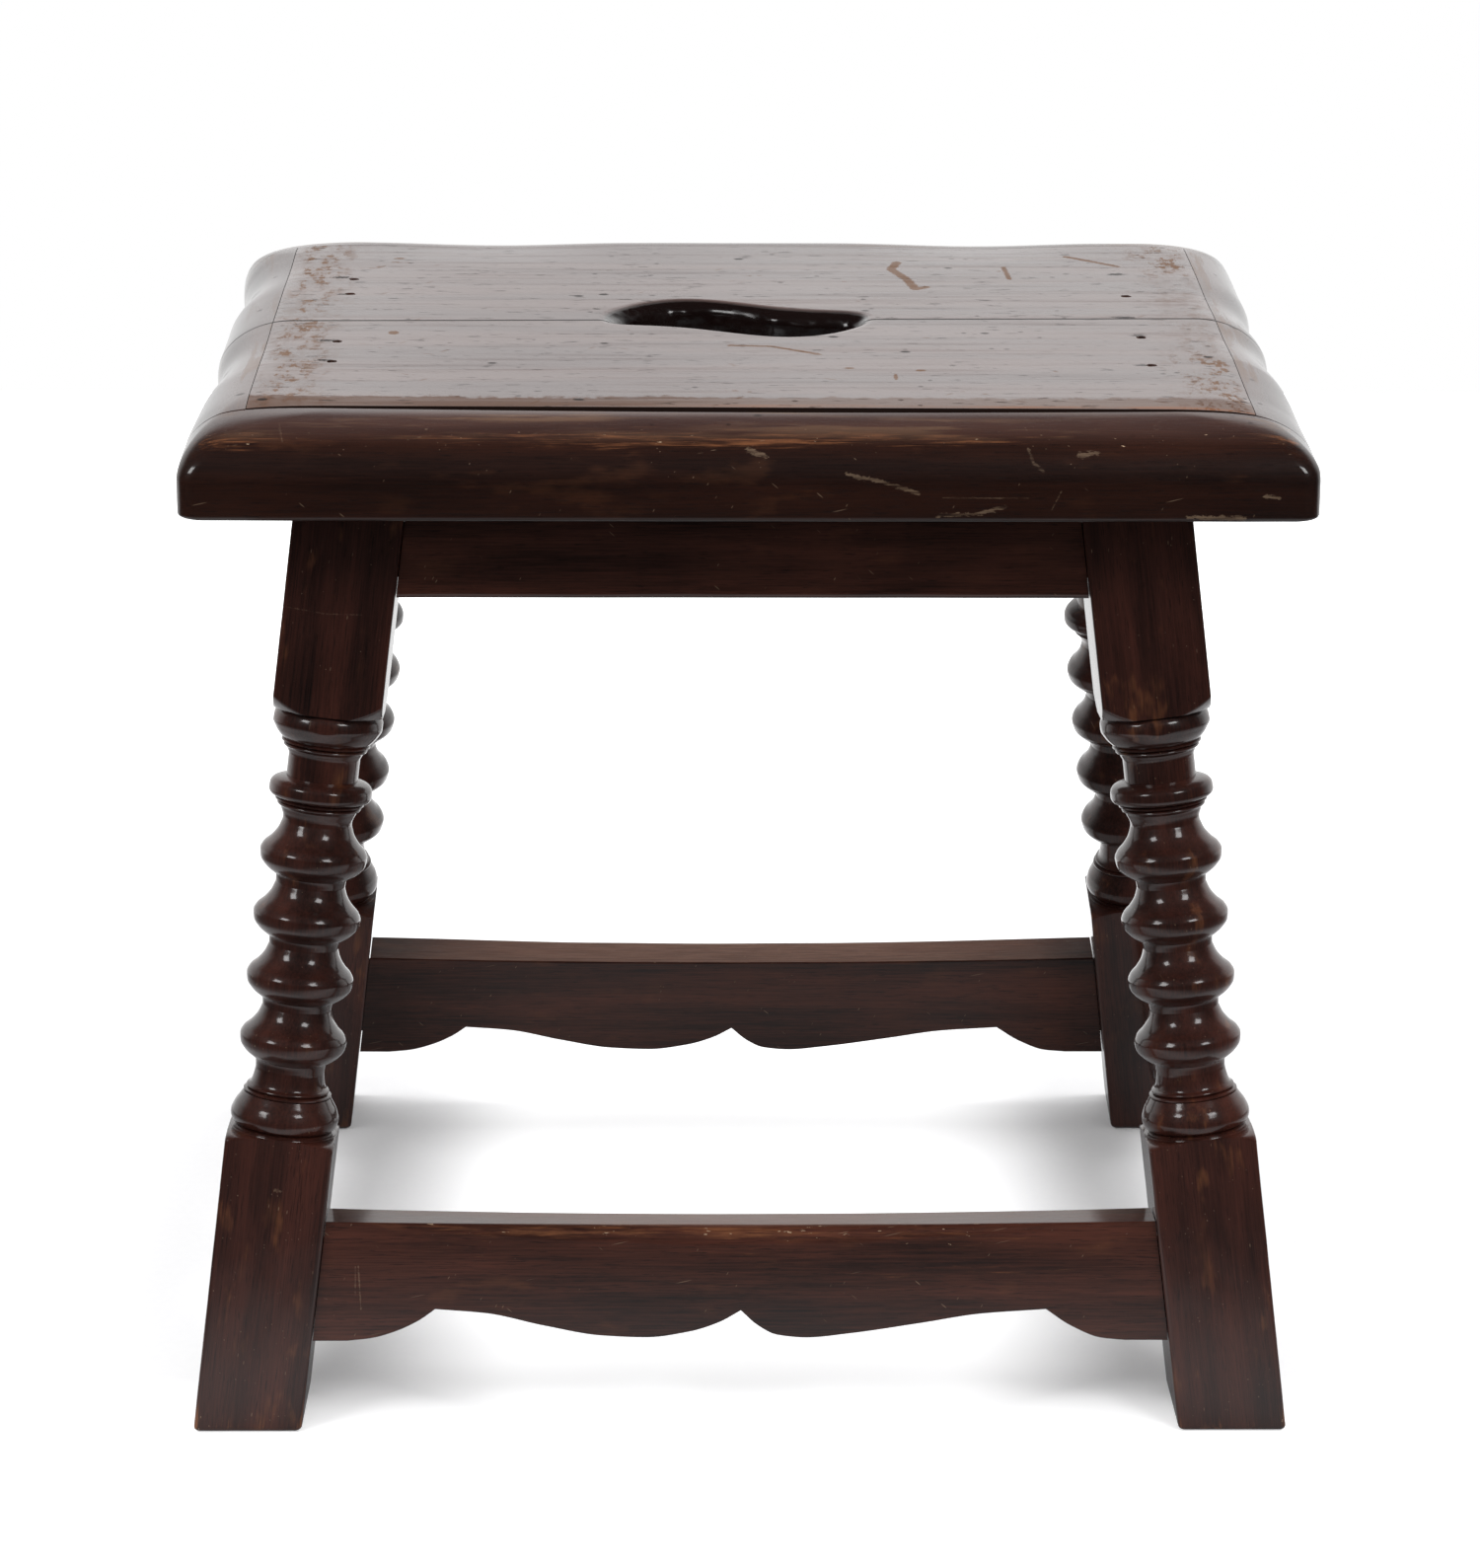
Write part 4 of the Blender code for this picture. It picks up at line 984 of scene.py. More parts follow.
def begin_tree(name, **inputs):
    """A geometry tree with named inputs of several kinds: its graph, the inputs, and their identifiers."""
    tree = bpy.data.node_groups.new(name, "GeometryNodeTree")
    graph = Graph(tree)
    tree.interface.new_socket("Geometry", in_out="OUTPUT", socket_type="NodeSocketGeometry")
    identifiers = {}
    for kind, names in inputs.items():
        for name in names:
            socket = tree.interface.new_socket(name, in_out="INPUT", socket_type=f"NodeSocket{kind}")
            identifiers[name] = socket.identifier
    group = tree.nodes.new("NodeGroupInput")
    return graph, {socket.name: Term(graph, socket) for socket in group.outputs if socket.name}, identifiers


def end_tree(graph, given, shape):
    """Ends a geometry tree in real mesh with its finish."""
    real = graph.add("GeometryNodeRealizeInstances", None, {0: shape})
    done = graph.add("GeometryNodeSetMaterial", None, {"Geometry": real, "Material": given["Finish"]})
    graph.add("NodeGroupOutput", None, {0: done})
    return graph.tree


def lathe_tree():
    """Turns a pattern into a leg: round where the pattern limits it, square with eased arrises elsewhere."""
    sizes = ("Half Width", "Arris", "Lean Across", "Lean Back", "Handwork", "Shift")
    graph, given, identifiers = begin_tree(
        "turned_leg", Geometry=["Pattern"], Int=["Columns"], Float=sizes, Material=["Finish"]
    )
    rows = graph.add("GeometryNodeAttributeDomainSize", {"component": "MESH"}, {0: given["Pattern"]})
    sheet_sizes = {"Size X": 1.0, "Size Y": 1.0, "Vertices X": given["Columns"] + 1, "Vertices Y": rows}
    sheet = graph.add("GeometryNodeMeshGrid", None, sheet_sizes)
    u, v, _ = graph.parts(graph.add("GeometryNodeInputPosition"))
    row = ((v + 0.5) * (rows - 1)).nearest()

    def picked(kind, value):
        pick = {"data_type": kind, "domain": "POINT"}
        return graph.add("GeometryNodeSampleIndex", pick, {0: given["Pattern"], "Value": value, "Index": row})

    limit, inset, height = graph.parts(picked("FLOAT_VECTOR", graph.add("GeometryNodeInputPosition")))
    named = graph.add("GeometryNodeInputNamedAttribute", {"data_type": "FLOAT"}, {"Name": "level"})
    level = picked("FLOAT", named)
    turn = (u + 0.5) * 4
    quarters = turn.floor()
    local = ((turn - quarters - 0.5) * math.pi).sine() * (math.pi / 4)
    angle = quarters * (math.pi / 2) + local
    cosine = abs(local.cosine())
    sine = abs(local.sine())
    half = given["Half Width"] - inset
    where = graph.point(angle.cosine(), angle.sine(), height * 22)
    seed = graph.vector("ADD", where, graph.point(given["Shift"]))
    uneven = graph.noise(seed, (1.6, 1.6, 1.0), 2.0)
    ease = given["Arris"] * (0.35 + uneven * 1.5)
    core = half - ease
    span = core * (cosine - sine)
    rounded = core * (cosine + sine) + (ease * ease - span * span).most(0).root()
    flat = half / cosine
    at_corner = (sine * half).over(core * cosine)
    square = flat + at_corner * (rounded - flat)
    radius = square.least(limit)
    dents = (graph.noise(seed, (2.2, 2.2, 2.4), 3.0) - 0.62).least(0)
    radius = radius + dents * given["Handwork"] * (radius / given["Half Width"])
    x = radius * angle.cosine()
    y = radius * angle.sine()
    z = height - level * (x * given["Lean Across"] + y * given["Lean Back"])
    moved = {"Geometry": sheet, "Position": graph.point(x, y, z)}
    wrapped = graph.add("GeometryNodeSetPosition", None, moved)
    closed = graph.add("GeometryNodeMergeByDistance", None, {"Geometry": wrapped, "Distance": 0.000001})
    return end_tree(graph, given, closed), identifiers


def tenon(rail, end, clearance, root):
    """A tenon at one end of a rail, its end sloped as the leg is, or its mortise when it has clearance."""
    rails = bpy.context.scene.stool_rails
    half = rails.tenon_thickness / 2 + clearance
    deep = rails.tenon_length + clearance
    low, high = rail.tenon_levels
    loops = []
    for height in (low - clearance, high + clearance):
        loop = []
        for through, into in ((-half, root), (-half, deep), (half, deep), (half, root)):
            loop.append((rail.reach(through, height, into)[end > 0], through, height))
        loops.append(loop)
    mesh = lofted("tenon", loops)
    mesh.transform(rail.matrix)
    return mesh


def mortises():
    blocks = [tenon(RailPlace(name), end, GAP, MORTISE_MOUTH) for name in RAILS for end in (-1, 1)]
    return joined("mortises", blocks)


def rail_stations(rail):
    """Places along a rail from -1 to 1, each with the height of its lower edge."""
    if rail.is_apron:
        return [(place / 60, rail.bottom) for place in range(-60, 61)]
    cusp = bpy.context.scene.stool_rails.cusp
    edge = [(-1.0, rail.bottom)]
    start = 0
    for index, (place, _) in enumerate(CUSPED_EDGE_SHARES):
        if place in CUSP_PLACES or index == len(CUSPED_EDGE_SHARES) - 1:
            part = smooth_line(CUSPED_EDGE_SHARES[start:index + 1], 0.012)
            edge += [(at, rail.bottom + cusp * rise) for at, rise in part[1 if start else 0:]]
            start = index
    return edge + [(0.95, rail.bottom), (1.0, rail.bottom)]


def rail_mesh(rail):
    """The rail's body: rounded edges, a worn top on a stretcher, ends cut to the legs."""
    rails = bpy.context.scene.stool_rails
    half = rail.thickness / 2
    top = rail.top
    outward = rail.outward_sign
    seed = sum(ord(letter) for letter in rail.name)
    loops = []
    for along, low in rail_stations(rail):
        worn = max(0.0, 1 - along * along)
        uneven = noise.noise(Vector((along * 3.1, seed, 0.0)))
        small = rails.arris * (0.55 + 0.35 * uneven)
        if rail.is_apron:
            high = top
            upper_outer = small
            lower_outer = APRON_EASE + 0.0008 * uneven
        else:
            high = top - rails.sag * worn
            depth = rails.rubbed * (1 if rail.name.startswith("front") else LESS_RUBBED)
            upper_outer = small + depth * worn ** 1.5 * (0.85 + 0.3 * uneven)
            lower_outer = small
        corners = (
            (-outward * half, low, small, 1, 1),
            (outward * half, low, lower_outer, -1, 1),
            (outward * half, high, upper_outer, -1, -1),
            (-outward * half, high, small * 1.3, 1, -1),
        )
        section = []
        for corner, (through, height, radius, inward, upward) in enumerate(corners):
            across = min(radius, 0.003 + (radius - 0.003) * 0.6)
            for turn in quarter(7):
                if corner in (0, 2):
                    turn = math.pi / 2 - turn
                y = through + inward * outward * across * (1 - math.sin(turn))
                z = height + upward * radius * (1 - math.cos(turn))
                if rail.is_apron:
                    z += (rail.height_at_level(UNDERSIDE - GAP, y) - top) * (z - low) / (high - low)
                section.append((y, z))
        loops.append([(mix(*rail.reach(y, z), (along + 1) / 2), y, z) for y, z in section])
    mesh = lofted(rail.name, loops)
    mesh.transform(rail.matrix)
    return mesh


def rail_rub(own, rail):
    """How rubbed each point of a rail is: its edges, and the upper outer edge of a stretcher most."""
    half = rail.thickness / 2
    side = half - np.abs(own[:, 1])
    above = rail.top - own[:, 2]
    reach = np.abs(own[:, 0]).max()
    worn = np.clip(1 - (own[:, 0] / reach) ** 2, 0, 1)
    outer = own[:, 1] * rail.outward_sign
    rub = np.clip(1 - side / 0.0012, 0, 1) * np.clip(1 - np.abs(above) / 0.002, 0, 1) * 0.5
    if not rail.is_apron:
        edge = np.exp(-((above - 0.0045 * worn - 0.0005) / 0.0042) ** 2) * (outer > half * 0.35)
        rub = np.maximum(rub, edge * (0.25 + 0.75 * worn))
        flat = (above < 0.0035) * worn * 0.55
        rub = np.maximum(rub, flat)
    low_edge = np.clip(1 - (own[:, 2] - rail.bottom) / 0.0022, 0, 1) * 0.45
    return np.clip(np.maximum(rub, low_edge), 0, 1)


def rail_tread(own, rail):
    """How far feet wore each point of a stretcher's top."""
    worn = np.clip(1 - (own[:, 0] / np.abs(own[:, 0]).max()) ** 4, 0, 1)
    above = own[:, 2] > rail.top - 0.0042
    half = rail.thickness / 2
    rim = half - (0.0045 if rail.name.startswith("front") else 0.0012)
    outer = np.clip((rim - own[:, 1] * rail.outward_sign) / 0.003 + 0.5, 0, 1)
    inner = own[:, 1] * rail.outward_sign > -half + 0.0006
    return worn * above * outer * inner * (not rail.is_apron)


def leg_rub(own):
    """How rubbed each point of a leg is: the blocks' arrises, the foot's corners, and the rings' crests."""
    s = bpy.context.scene.stool_legs
    half = s.width / 2
    x = np.abs(own[:, 0])
    y = np.abs(own[:, 1])
    z = own[:, 2]
    block = (z < s.lower_block) | (z > s.upper_block)
    arris = np.clip(1 - (half - np.minimum(x, y)) / 0.0035, 0, 1) * block
    foot = np.clip(1 - z / 0.010, 0, 1) * (np.maximum(x, y) > half - 0.004)
    radius = np.hypot(x, y)
    crest = np.clip((radius - s.ring + 0.0011) / 0.0011, 0, 1) * (~block) * 0.30
    return np.clip(arris * 0.62 + foot * 0.6 + crest, 0, 1)


def end_wear(side, y):
    """How far an end of the seat is rubbed hollow at a place along its depth."""
    seat = bpy.context.scene.stool_seat
    places = LEFT_WEAR_SHARES if side < 0 else RIGHT_WEAR_SHARES
    half = seat.depth / 2
    worn = seat.end_wear * hollow(y, places, half, HOLLOW_REACH * half)
    if side < 0:
        worn += LEFT_HOLLOW * min(1.0, max(0.0, (y + 0.13) / 0.06), max(0.0, (0.165 - y) / 0.03))
    return worn


def seat_outline(inset_x, inset_y, inset_rear, fade):
    """One level of the slab in plan, with round corners, worn ends and slight hand-shaped waves."""
    seat = bpy.context.scene.stool_seat
    half_x = seat.length / 2 - inset_x
    half_y = seat.depth / 2 - inset_y
    soft = seat.softening * min(1, inset_x / seat.end_round)
    radii = {-1: seat.corner + soft * 0.9, 1: seat.corner + soft * 0.55}
    points = []
    rear_y = seat.depth / 2 - inset_rear
    for corner, (sign_x, sign_y) in enumerate(((1, 1), (-1, 1), (-1, -1), (1, -1))):
        radius = radii[sign_x]
        edge = rear_y if sign_y > 0 else half_y
        middle = (sign_x * (half_x - radius), sign_y * (edge - radius))
        for step in range(CORNER_STEPS + 1):
            angle = math.radians(90 * (corner + step / CORNER_STEPS))
            points.append((middle[0] + radius * math.cos(angle), middle[1] + radius * math.sin(angle)))
        x, y = points[-1]
        if corner % 2:
            count = DEPTH_STEPS
            end = (x, radius - half_y if corner == 1 else rear_y - radius)
        else:
            count = LENGTH_STEPS
            end = (-sign_x * (half_x - radii[-sign_x]), y)
        points += [(mix(x, end[0], step / count), mix(y, end[1], step / count)) for step in range(1, count)]
    shaped = []
    for x, y in points:
        worn = end_wear(x, y) * fade
        ripple = noise.noise(Vector((x * 38, y * 38, inset_x * 60 + 4.0))) * 0.5 + 0.5
        if x > 0:
            worn -= RIGHT_FULLNESS * inset_x * fade * (held((-0.06 - y) / 0.06) * held((x - 0.10) / 0.06))
        x -= math.copysign(worn + ripple * WAVE * fade, x)
        y -= math.copysign(ripple * WAVE * fade, y)
        shaped.append((x, y))
    return shaped


def seat_levels():
    """Each level of the slab: its height, insets at ends, front and rear, and how far wear shapes it."""
    seat = bpy.context.scene.stool_seat
    levels = []
    inner = 0.030
    levels.append((0.0, *[seat.under_round + inner] * 3, 1.0))
    for turn in quarter(5):
        inset = seat.under_round * (1 - math.sin(turn))
        levels.append((seat.under_round * (1 - math.cos(turn)), inset, inset, inset, 1.0))
    for step in range(1, 5):
        levels.append((mix(seat.under_round, seat.belly, step / 5), 0.0, 0.0, 0.0, 1.0))
    rise = seat.thickness - seat.belly
    for turn in quarter(32):
        inset = 1 - math.cos(turn)
        insets = [size * inset for size in (seat.end_round, seat.edge_round, seat.rear_round)]
        levels.append((seat.belly + rise * math.sin(turn), *insets, 1.0))
    for further in TOP_STEPS:
        fade = max(0.0, 1 - further / WEAR_FADE)
        insets = [size + further for size in (seat.end_round, seat.edge_round, seat.rear_round)]
        levels.append((seat.thickness, *insets, fade))
    return levels


def end_joints():
    """Where the end pieces meet the boards, from the slab's middle to the left and to the right."""
    seat = bpy.context.scene.stool_seat
    return -seat.length / 2 + seat.left_end, seat.length / 2 - seat.right_end


def front_joint(x, seen=True):
    """The front joint as it is seen, or as its hidden tongue has it."""
    seat = bpy.context.scene.stool_seat
    left, right = end_joints()
    part = (x - left) / (right - left)
    moved = seat.joint_shift * (0.55 + 0.55 * part) if seen else 0
    return mix(seat.nosing_left, seat.nosing_right, part) - seat.depth / 2 + moved


def seam(x):
    seat = bpy.context.scene.stool_seat
    left, right = end_joints()
    return mix(seat.seam_left, seat.seam_right, (x - left) / (right - left))


def hollow(x, places, half, width):
    """Sum of smooth hollows along one direction."""
    total = 0
    for place in places:
        away = abs(x - place * half) / width
        if away < 1:
            total += 0.5 + 0.5 * math.cos(math.pi * away)
    return total


def top_fall(x, y, is_nosing):
    """How far the top lies under the seat's full height, from use."""
    seat = bpy.context.scene.stool_seat
    half_x = seat.length / 2
    half_y = seat.depth / 2
    rear = max(0.0, 1 - (half_y - y) / 0.075)
    hollows = hollow(x, REAR_WEAR_SHARES, half_x, seat.rear_wear_width)
    fall = seat.rear_wear * hollows * rear * rear * (3 - 2 * rear)
    beyond = y - front_joint(x)
    if is_nosing:
        middle = max(0.0, 1 - (x / (half_x * 0.93)) ** 2)
        return fall + (0.25 + 0.75 * middle) * seat.step + seat.ledge
    if beyond < seat.ledge_width:
        near = min(1.0, 1 - beyond / seat.ledge_width)
        fall += seat.ledge * near * near
    return fall


def seat_slab(is_nosing):
    """The whole seat before it is sawn into its pieces."""
    seat = bpy.context.scene.stool_seat
    loops = []
    for height, inset_x, inset_y, inset_rear, fade in seat_levels():
        share_up = max(0.0, (height - seat.belly) / (seat.thickness - seat.belly))
        loop = []
        for x, y in seat_outline(inset_x, inset_y, inset_rear, fade):
            z = UNDERSIDE + height - top_fall(x, y, is_nosing) * share_up ** 3
            loop.append((seat.middle_x + x, y, z))
        loops.append(loop)
    return lofted("seat_slab", loops)


def prism(name, outline, bottom, top):
    return lofted(name, [[(x, y, z) for x, y in outline] for z in (bottom, top)])


def seat_plans():
    """Plan outline of each piece of the seat, from the middle of the slab."""
    seat = bpy.context.scene.stool_seat
    far_x = seat.length
    far_y = seat.depth
    gap = GAP / 2
    left, right = end_joints()
    rear = seat.depth / 2 - seat.nosing_rear
    inner = (left + gap, right - gap)
    open_joint = []
    for at in np.linspace(right, left, 25):
        open_joint.append((at, front_joint(at) - mix(gap, seat.crack, max(0, 1 - (at / right) ** 2))))
    plans = {
        "front_nosing": [(-far_x, -far_y), (far_x, -far_y), (far_x, front_joint(far_x) - gap)]
        + open_joint + [(-far_x, front_joint(-far_x) - gap)],
        "rear_nosing": [(-far_x, rear + gap), (far_x, rear + gap), (far_x, far_y), (-far_x, far_y)],
        "front_seat_board": [
            (inner[0], front_joint(inner[0]) + gap), (inner[1], front_joint(inner[1]) + gap),
            (inner[1], seam(inner[1]) - gap), (inner[0], seam(inner[0]) - gap),
        ],
        "rear_seat_board": [
            (inner[0], seam(inner[0]) + gap), (inner[1], seam(inner[1]) + gap),
            (inner[1], rear - gap), (inner[0], rear - gap),
        ],
    }
    for side, near, far in (("left", left - gap, -far_x), ("right", right + gap, far_x)):
        plans[f"{side}_front_end_piece"] = [
            (near, front_joint(near) + gap), (near, seam(near) - gap),
            (far, seam(near) - gap), (far, front_joint(far) + gap),
        ]
        plans[f"{side}_rear_end_piece"] = [
            (near, seam(near) + gap), (near, rear - gap), (far, rear - gap), (far, seam(near) + gap),
        ]
    return plans


def placed(outline):
    seat = bpy.context.scene.stool_seat
    return [(seat.middle_x + x, y) for x, y in outline]


def tongue_grooves():
    """The grooves that the loose tongues lie in."""
    seat = bpy.context.scene.stool_seat
    left, right = end_joints()
    rear = seat.depth / 2 - seat.nosing_rear
    stop = seat.tongue_stop + seat.tongue_width / 2
    slot_half = seat.slot_length / 2 + 0.012
    slot_left = seat.slot_x - slot_half
    slot_right = seat.slot_x + slot_half
    lines = [
        ((left, front_joint(left, False)), (right, front_joint(right, False))),
        ((left, rear), (right, rear)),
        ((left + stop, seam(left + stop)), (slot_left, seam(slot_left))),
        ((slot_right, seam(slot_right)), (right - stop, seam(right - stop))),
    ]
    for x in (left, right):
        lines.append(((x, front_joint(x, False) + stop), (x, seam(x) - seat.tongue_stop)))
        lines.append(((x, seam(x) + seat.tongue_stop), (x, rear - stop)))
    middle = UNDERSIDE + seat.thickness / 2
    half = seat.tongue_thickness / 2 + GAP
    grooves = []
    for start, end in lines:
        along = (Vector(end) - Vector(start)).normalized()
        across = Vector((-along.y, along.x)) * (seat.tongue_width / 2 + GAP)
        first = Vector(start) - along * GAP
        last = Vector(end) + along * GAP
        outline = [tuple(point) for point in (first - across, last - across, last + across, first + across)]
        grooves.append(prism("groove", placed(outline), middle - half, middle + half))
    return joined("tongue_grooves", grooves)


def slot_cutter():
    """The hand-hold: a rounded slot whose middle line sways once to and fro, carved a little unevenly."""
    seat = bpy.context.scene.stool_seat
    ease = seat.slot_round
    steps = 64
    levels = [(UNDERSIDE - ease, 2 * ease)]
    for turn in quarter(6):
        levels.append((UNDERSIDE + ease * (1 - math.cos(turn)), ease * (1 - math.sin(turn))))
    lip = seat.slot_lip
    narrow = ease - lip
    for step in range(1, 14):
        levels.append((mix(UNDERSIDE + ease, SEAT_TOP - lip, step / 14), narrow * step / 14))
    for turn in quarter(10):
        levels.append((SEAT_TOP - lip + lip * math.sin(turn), narrow + lip * (1 - math.cos(turn))))
    levels.append((SEAT_TOP + ease, 2 * ease))
    loops = []
    for z, grow in levels:
        upper = []
        lower = []
        for step in range(steps + 1):
            turn = math.pi * step / steps
            along = -math.cos(turn)
            width = seat.slot_width / 2 * math.sin(turn) + grow
            x = seat.slot_x + along * (seat.slot_length / 2 + grow)
            y = seat.slot_y - seat.slot_sway * math.sin(math.pi * along)
            if step in (0, steps):
                upper.append((x, y))
                continue
            upper.append((x, y + width))
            lower.append((x, y - width))
        loop = []
        for x, y in placed(upper[::-1] + lower):
            inside = held((SEAT_TOP - z) / ease) * held((z - UNDERSIDE) / ease)
            dent = noise.noise(Vector((x * 105, y * 105, z * 120))) * 0.0017 * inside
            away = Vector((x - seat.middle_x - seat.slot_x, y - seat.slot_y)).normalized()
            loop.append((x - away.x * abs(dent), y - away.y * abs(dent), z))
        loops.append(loop)
    return lofted("hand_hold", loops)


def nail_places():
    """Name and place in plan of each nail, over the side aprons."""
    apron_height = bpy.context.scene.stool_rails.apron_height
    for word, shares in (("left", LEFT_NAIL_SHARES), ("right", RIGHT_NAIL_SHARES)):
        apron = RailPlace(f"{word}_apron")
        top = apron.height_at_level(UNDERSIDE, 0)
        middle = apron.origin + apron.up * (top - apron_height / 4)
        reach = apron.reach(0, top, GAP)[1]
        for number, along in enumerate(shares, start=1):
            yield f"{word}_seat_nail_{number}", Vector((middle.x, along * reach, 0))


def nail_holes():
    nails = bpy.context.scene.stool_nails
    top = SEAT_TOP - nails.sunk
    rows = (
        (top - nails.length - GAP, nails.tip + GAP),
        (top - nails.head_height - GAP, nails.shank + GAP),
        (top - nails.head_height - GAP, nails.head + GAP),
        (top + PAST_SEAT, nails.head + GAP),
    )
    holes = []
    for _, spot in nail_places():
        loops = []
        for height, radius in rows:
            loop = []
            for i in range(24):
                turn = 2 * math.pi * i / 24
                x, y = math.cos(turn), math.sin(turn)
                uneven = 1 + 0.45 * noise.noise(Vector((x * 1.3, y * 1.3, spot.y * 90)))
                reach = radius * max(1.0, uneven) if radius > nails.shank * 1.2 else radius
                loop.append((spot.x + reach * x, spot.y + reach * y, height))
            loops.append(loop)
        holes.append(lofted("nail_hole", loops))
    return joined("nail_holes", holes)


def nail_tree():
    """Drives one cut nail in at each point, each turned by its seed."""
    sizes = ("Length", "Head Radius", "Head Height", "Shank Radius", "Tip Radius")
    graph, given, identifiers = begin_tree(
        "driven_nails", Geometry=["Places"], Float=sizes, Int=["Seed"], Material=["Finish"]
    )
    head, tall = given["Head Radius"], given["Head Height"]
    nail = graph.add("GeometryNodeJoinGeometry")
    sockets = ("Vertices", "Side Segments", "Radius Top", "Radius Bottom", "Depth")
    for low, *values in (
        (tall, 16, 2, head * 0.86, head, tall),
        (given["Length"], 8, 4, given["Shank Radius"], given["Tip Radius"], given["Length"] - tall),
    ):
        cone = graph.add("GeometryNodeMeshCone", {"fill_type": "NGON"}, dict(zip(sockets, values)))
        lowered = {"Geometry": cone, "Translation": graph.point(z=-low)}
        graph.feed(nail.socket.node.inputs[0], graph.add("GeometryNodeTransform", None, lowered))
    whole_turn = {2: 0.0, 3: 2 * math.pi, "Seed": given["Seed"]}
    spin = graph.add("FunctionNodeRandomValue", {"data_type": "FLOAT"}, whole_turn, output=1)
    standing = {"Points": given["Places"], "Instance": nail, "Rotation": graph.point(z=spin)}
    stood = graph.add("GeometryNodeInstanceOnPoints", None, standing)
    return end_tree(graph, given, stood), identifiers


def grown(name, mesh, tree, identifiers, values):
    """Runs a geometry tree on a mesh and gives the result as a plain object."""
    obj = new_object(name, mesh)
    modifier = obj.modifiers.new("shape", "NODES")
    modifier.node_group = tree
    for key, value in values.items():
        modifier[identifiers[key]] = value
    make_plain(obj)
    return obj


class STOOL_OT_legs(bpy.types.Operator):
    """Turn the four legs"""

    bl_idname = "stool.legs"
    bl_label = "Turned legs"

    def execute(self, context):
        sizes = context.scene.stool_legs
        tree, identifiers = lathe_tree()
        corners = [(side_x, side_y) for side_y in (-1, 1) for side_x in (-1, 1)]
        for number, (side_x, side_y) in enumerate(corners):
            place = LegPlace(side_x, side_y)
            values = {
                "Columns": LEG_COLUMNS,
                "Half Width": sizes.width / 2,
                "Arris": sizes.arris,
                "Lean Across": place.across.z / place.axis.z,
                "Lean Back": place.back.z / place.axis.z,
                "Handwork": sizes.handwork,
                "Shift": 3.7 * number,
                "Finish": finish_for("stained_turned_wood"),
            }
            leg = grown(f"turned_{place.name}", leg_profile(place), tree, identifiers, values)
            leg.data.transform(place.matrix)
            settle(leg, [combine(leg, mortises(), "DIFFERENCE")])
            own = set_grain(leg.data, place.matrix, (2, 0, 1), shift_for(number))
            set_attribute(leg.data, "rub", "FLOAT", leg_rub(own))
            hand_piece(leg, "stained_turned_wood", place.name)
        return {"FINISHED"}


def make_rails(wanted, word):
    for number, rail in enumerate(map(RailPlace, RAILS)):
        if not rail.name.endswith(wanted):
            continue
        piece = new_object(f"{word}_{rail.name}", rail_mesh(rail))
        tenons = joined("tenons", [tenon(rail, end, 0, TENON_ROOT) for end in (-1, 1)])
        tools = [combine(piece, tenons, "UNION")]
        if rail.name in ("left_apron", "right_apron"):
            tools.append(combine(piece, nail_holes(), "DIFFERENCE"))
        settle(piece, tools)
        own = set_grain(piece.data, rail.matrix, (0, 1, 2), shift_for(10 + number))
        set_attribute(piece.data, "rub", "FLOAT", rail_rub(own, rail))
        set_attribute(piece.data, "tread", "FLOAT", rail_tread(own, rail))
        hand_piece(piece, "stained_rail_wood", rail.name)


class STOOL_OT_aprons(bpy.types.Operator):
    """Plane the four aprons"""

    bl_idname = "stool.aprons"
    bl_label = "Aprons"

    def execute(self, context):
        make_rails("apron", "planed")
        return {"FINISHED"}


class STOOL_OT_stretchers(bpy.types.Operator):
    """Saw the four stretchers with their cusped lower edges"""

    bl_idname = "stool.stretchers"
    bl_label = "Stretchers"

    def execute(self, context):
        make_rails("stretcher", "cusped")
        return {"FINISHED"}


def seat_rub(mesh, name):
    """How rubbed each point of a nosing or an end piece is: most over the upper curve."""
    seat = bpy.context.scene.stool_seat
    points = points_of(mesh)
    up = (points[:, 2] - UNDERSIDE) / seat.thickness
    band = np.exp(-((up - 0.80) / 0.13) ** 2)
    low = np.clip(1 - up / 0.06, 0, 1) * 0.5
    if name.endswith("end_piece"):
        band = band * 0.35
    at_end = np.abs(points[:, 0] - seat.middle_x) > seat.length / 2 - 0.030
    corner = at_end * np.exp(-((up - 0.68) / 0.2) ** 2)
    return np.clip(np.maximum(band * 0.95, low) + corner * 0.15, 0, 1)


class STOOL_OT_seat(bpy.types.Operator):
    """Shape the seat's slab and saw it into its nosings, boards and end pieces"""

    bl_idname = "stool.seat"
    bl_label = "Seat"

    def execute(self, context):
        slabs = {is_nosing: seat_slab(is_nosing) for is_nosing in (False, True)}
        for number, (name, plan) in enumerate(seat_plans().items()):
            is_board = name.endswith("seat_board")
            piece = new_object(f"worn_{name}", slabs[name == "front_nosing"].copy())
            bounds = prism("bounds", placed(plan), UNDERSIDE - PAST_SEAT, SEAT_TOP + PAST_SEAT)
            tools = [combine(piece, bounds, "INTERSECT"), combine(piece, tongue_grooves(), "DIFFERENCE")]
            if is_board:
                tools.append(combine(piece, slot_cutter(), "DIFFERENCE"))
                tools.append(combine(piece, nail_holes(), "DIFFERENCE"))
            settle(piece, tools, 30)
            order = (1, 0, 2) if name.endswith("end_piece") else (0, 1, 2)
            set_grain(piece.data, Matrix.Identity(4), order, shift_for(20 + number))
            set_attribute(piece.data, "rub", "FLOAT", seat_rub(piece.data, name))
            hand_piece(piece, "waxed_seat_board" if is_board else "stained_seat_edge", name)
        for slab in slabs.values():
            bpy.data.meshes.remove(slab)
        return {"FINISHED"}


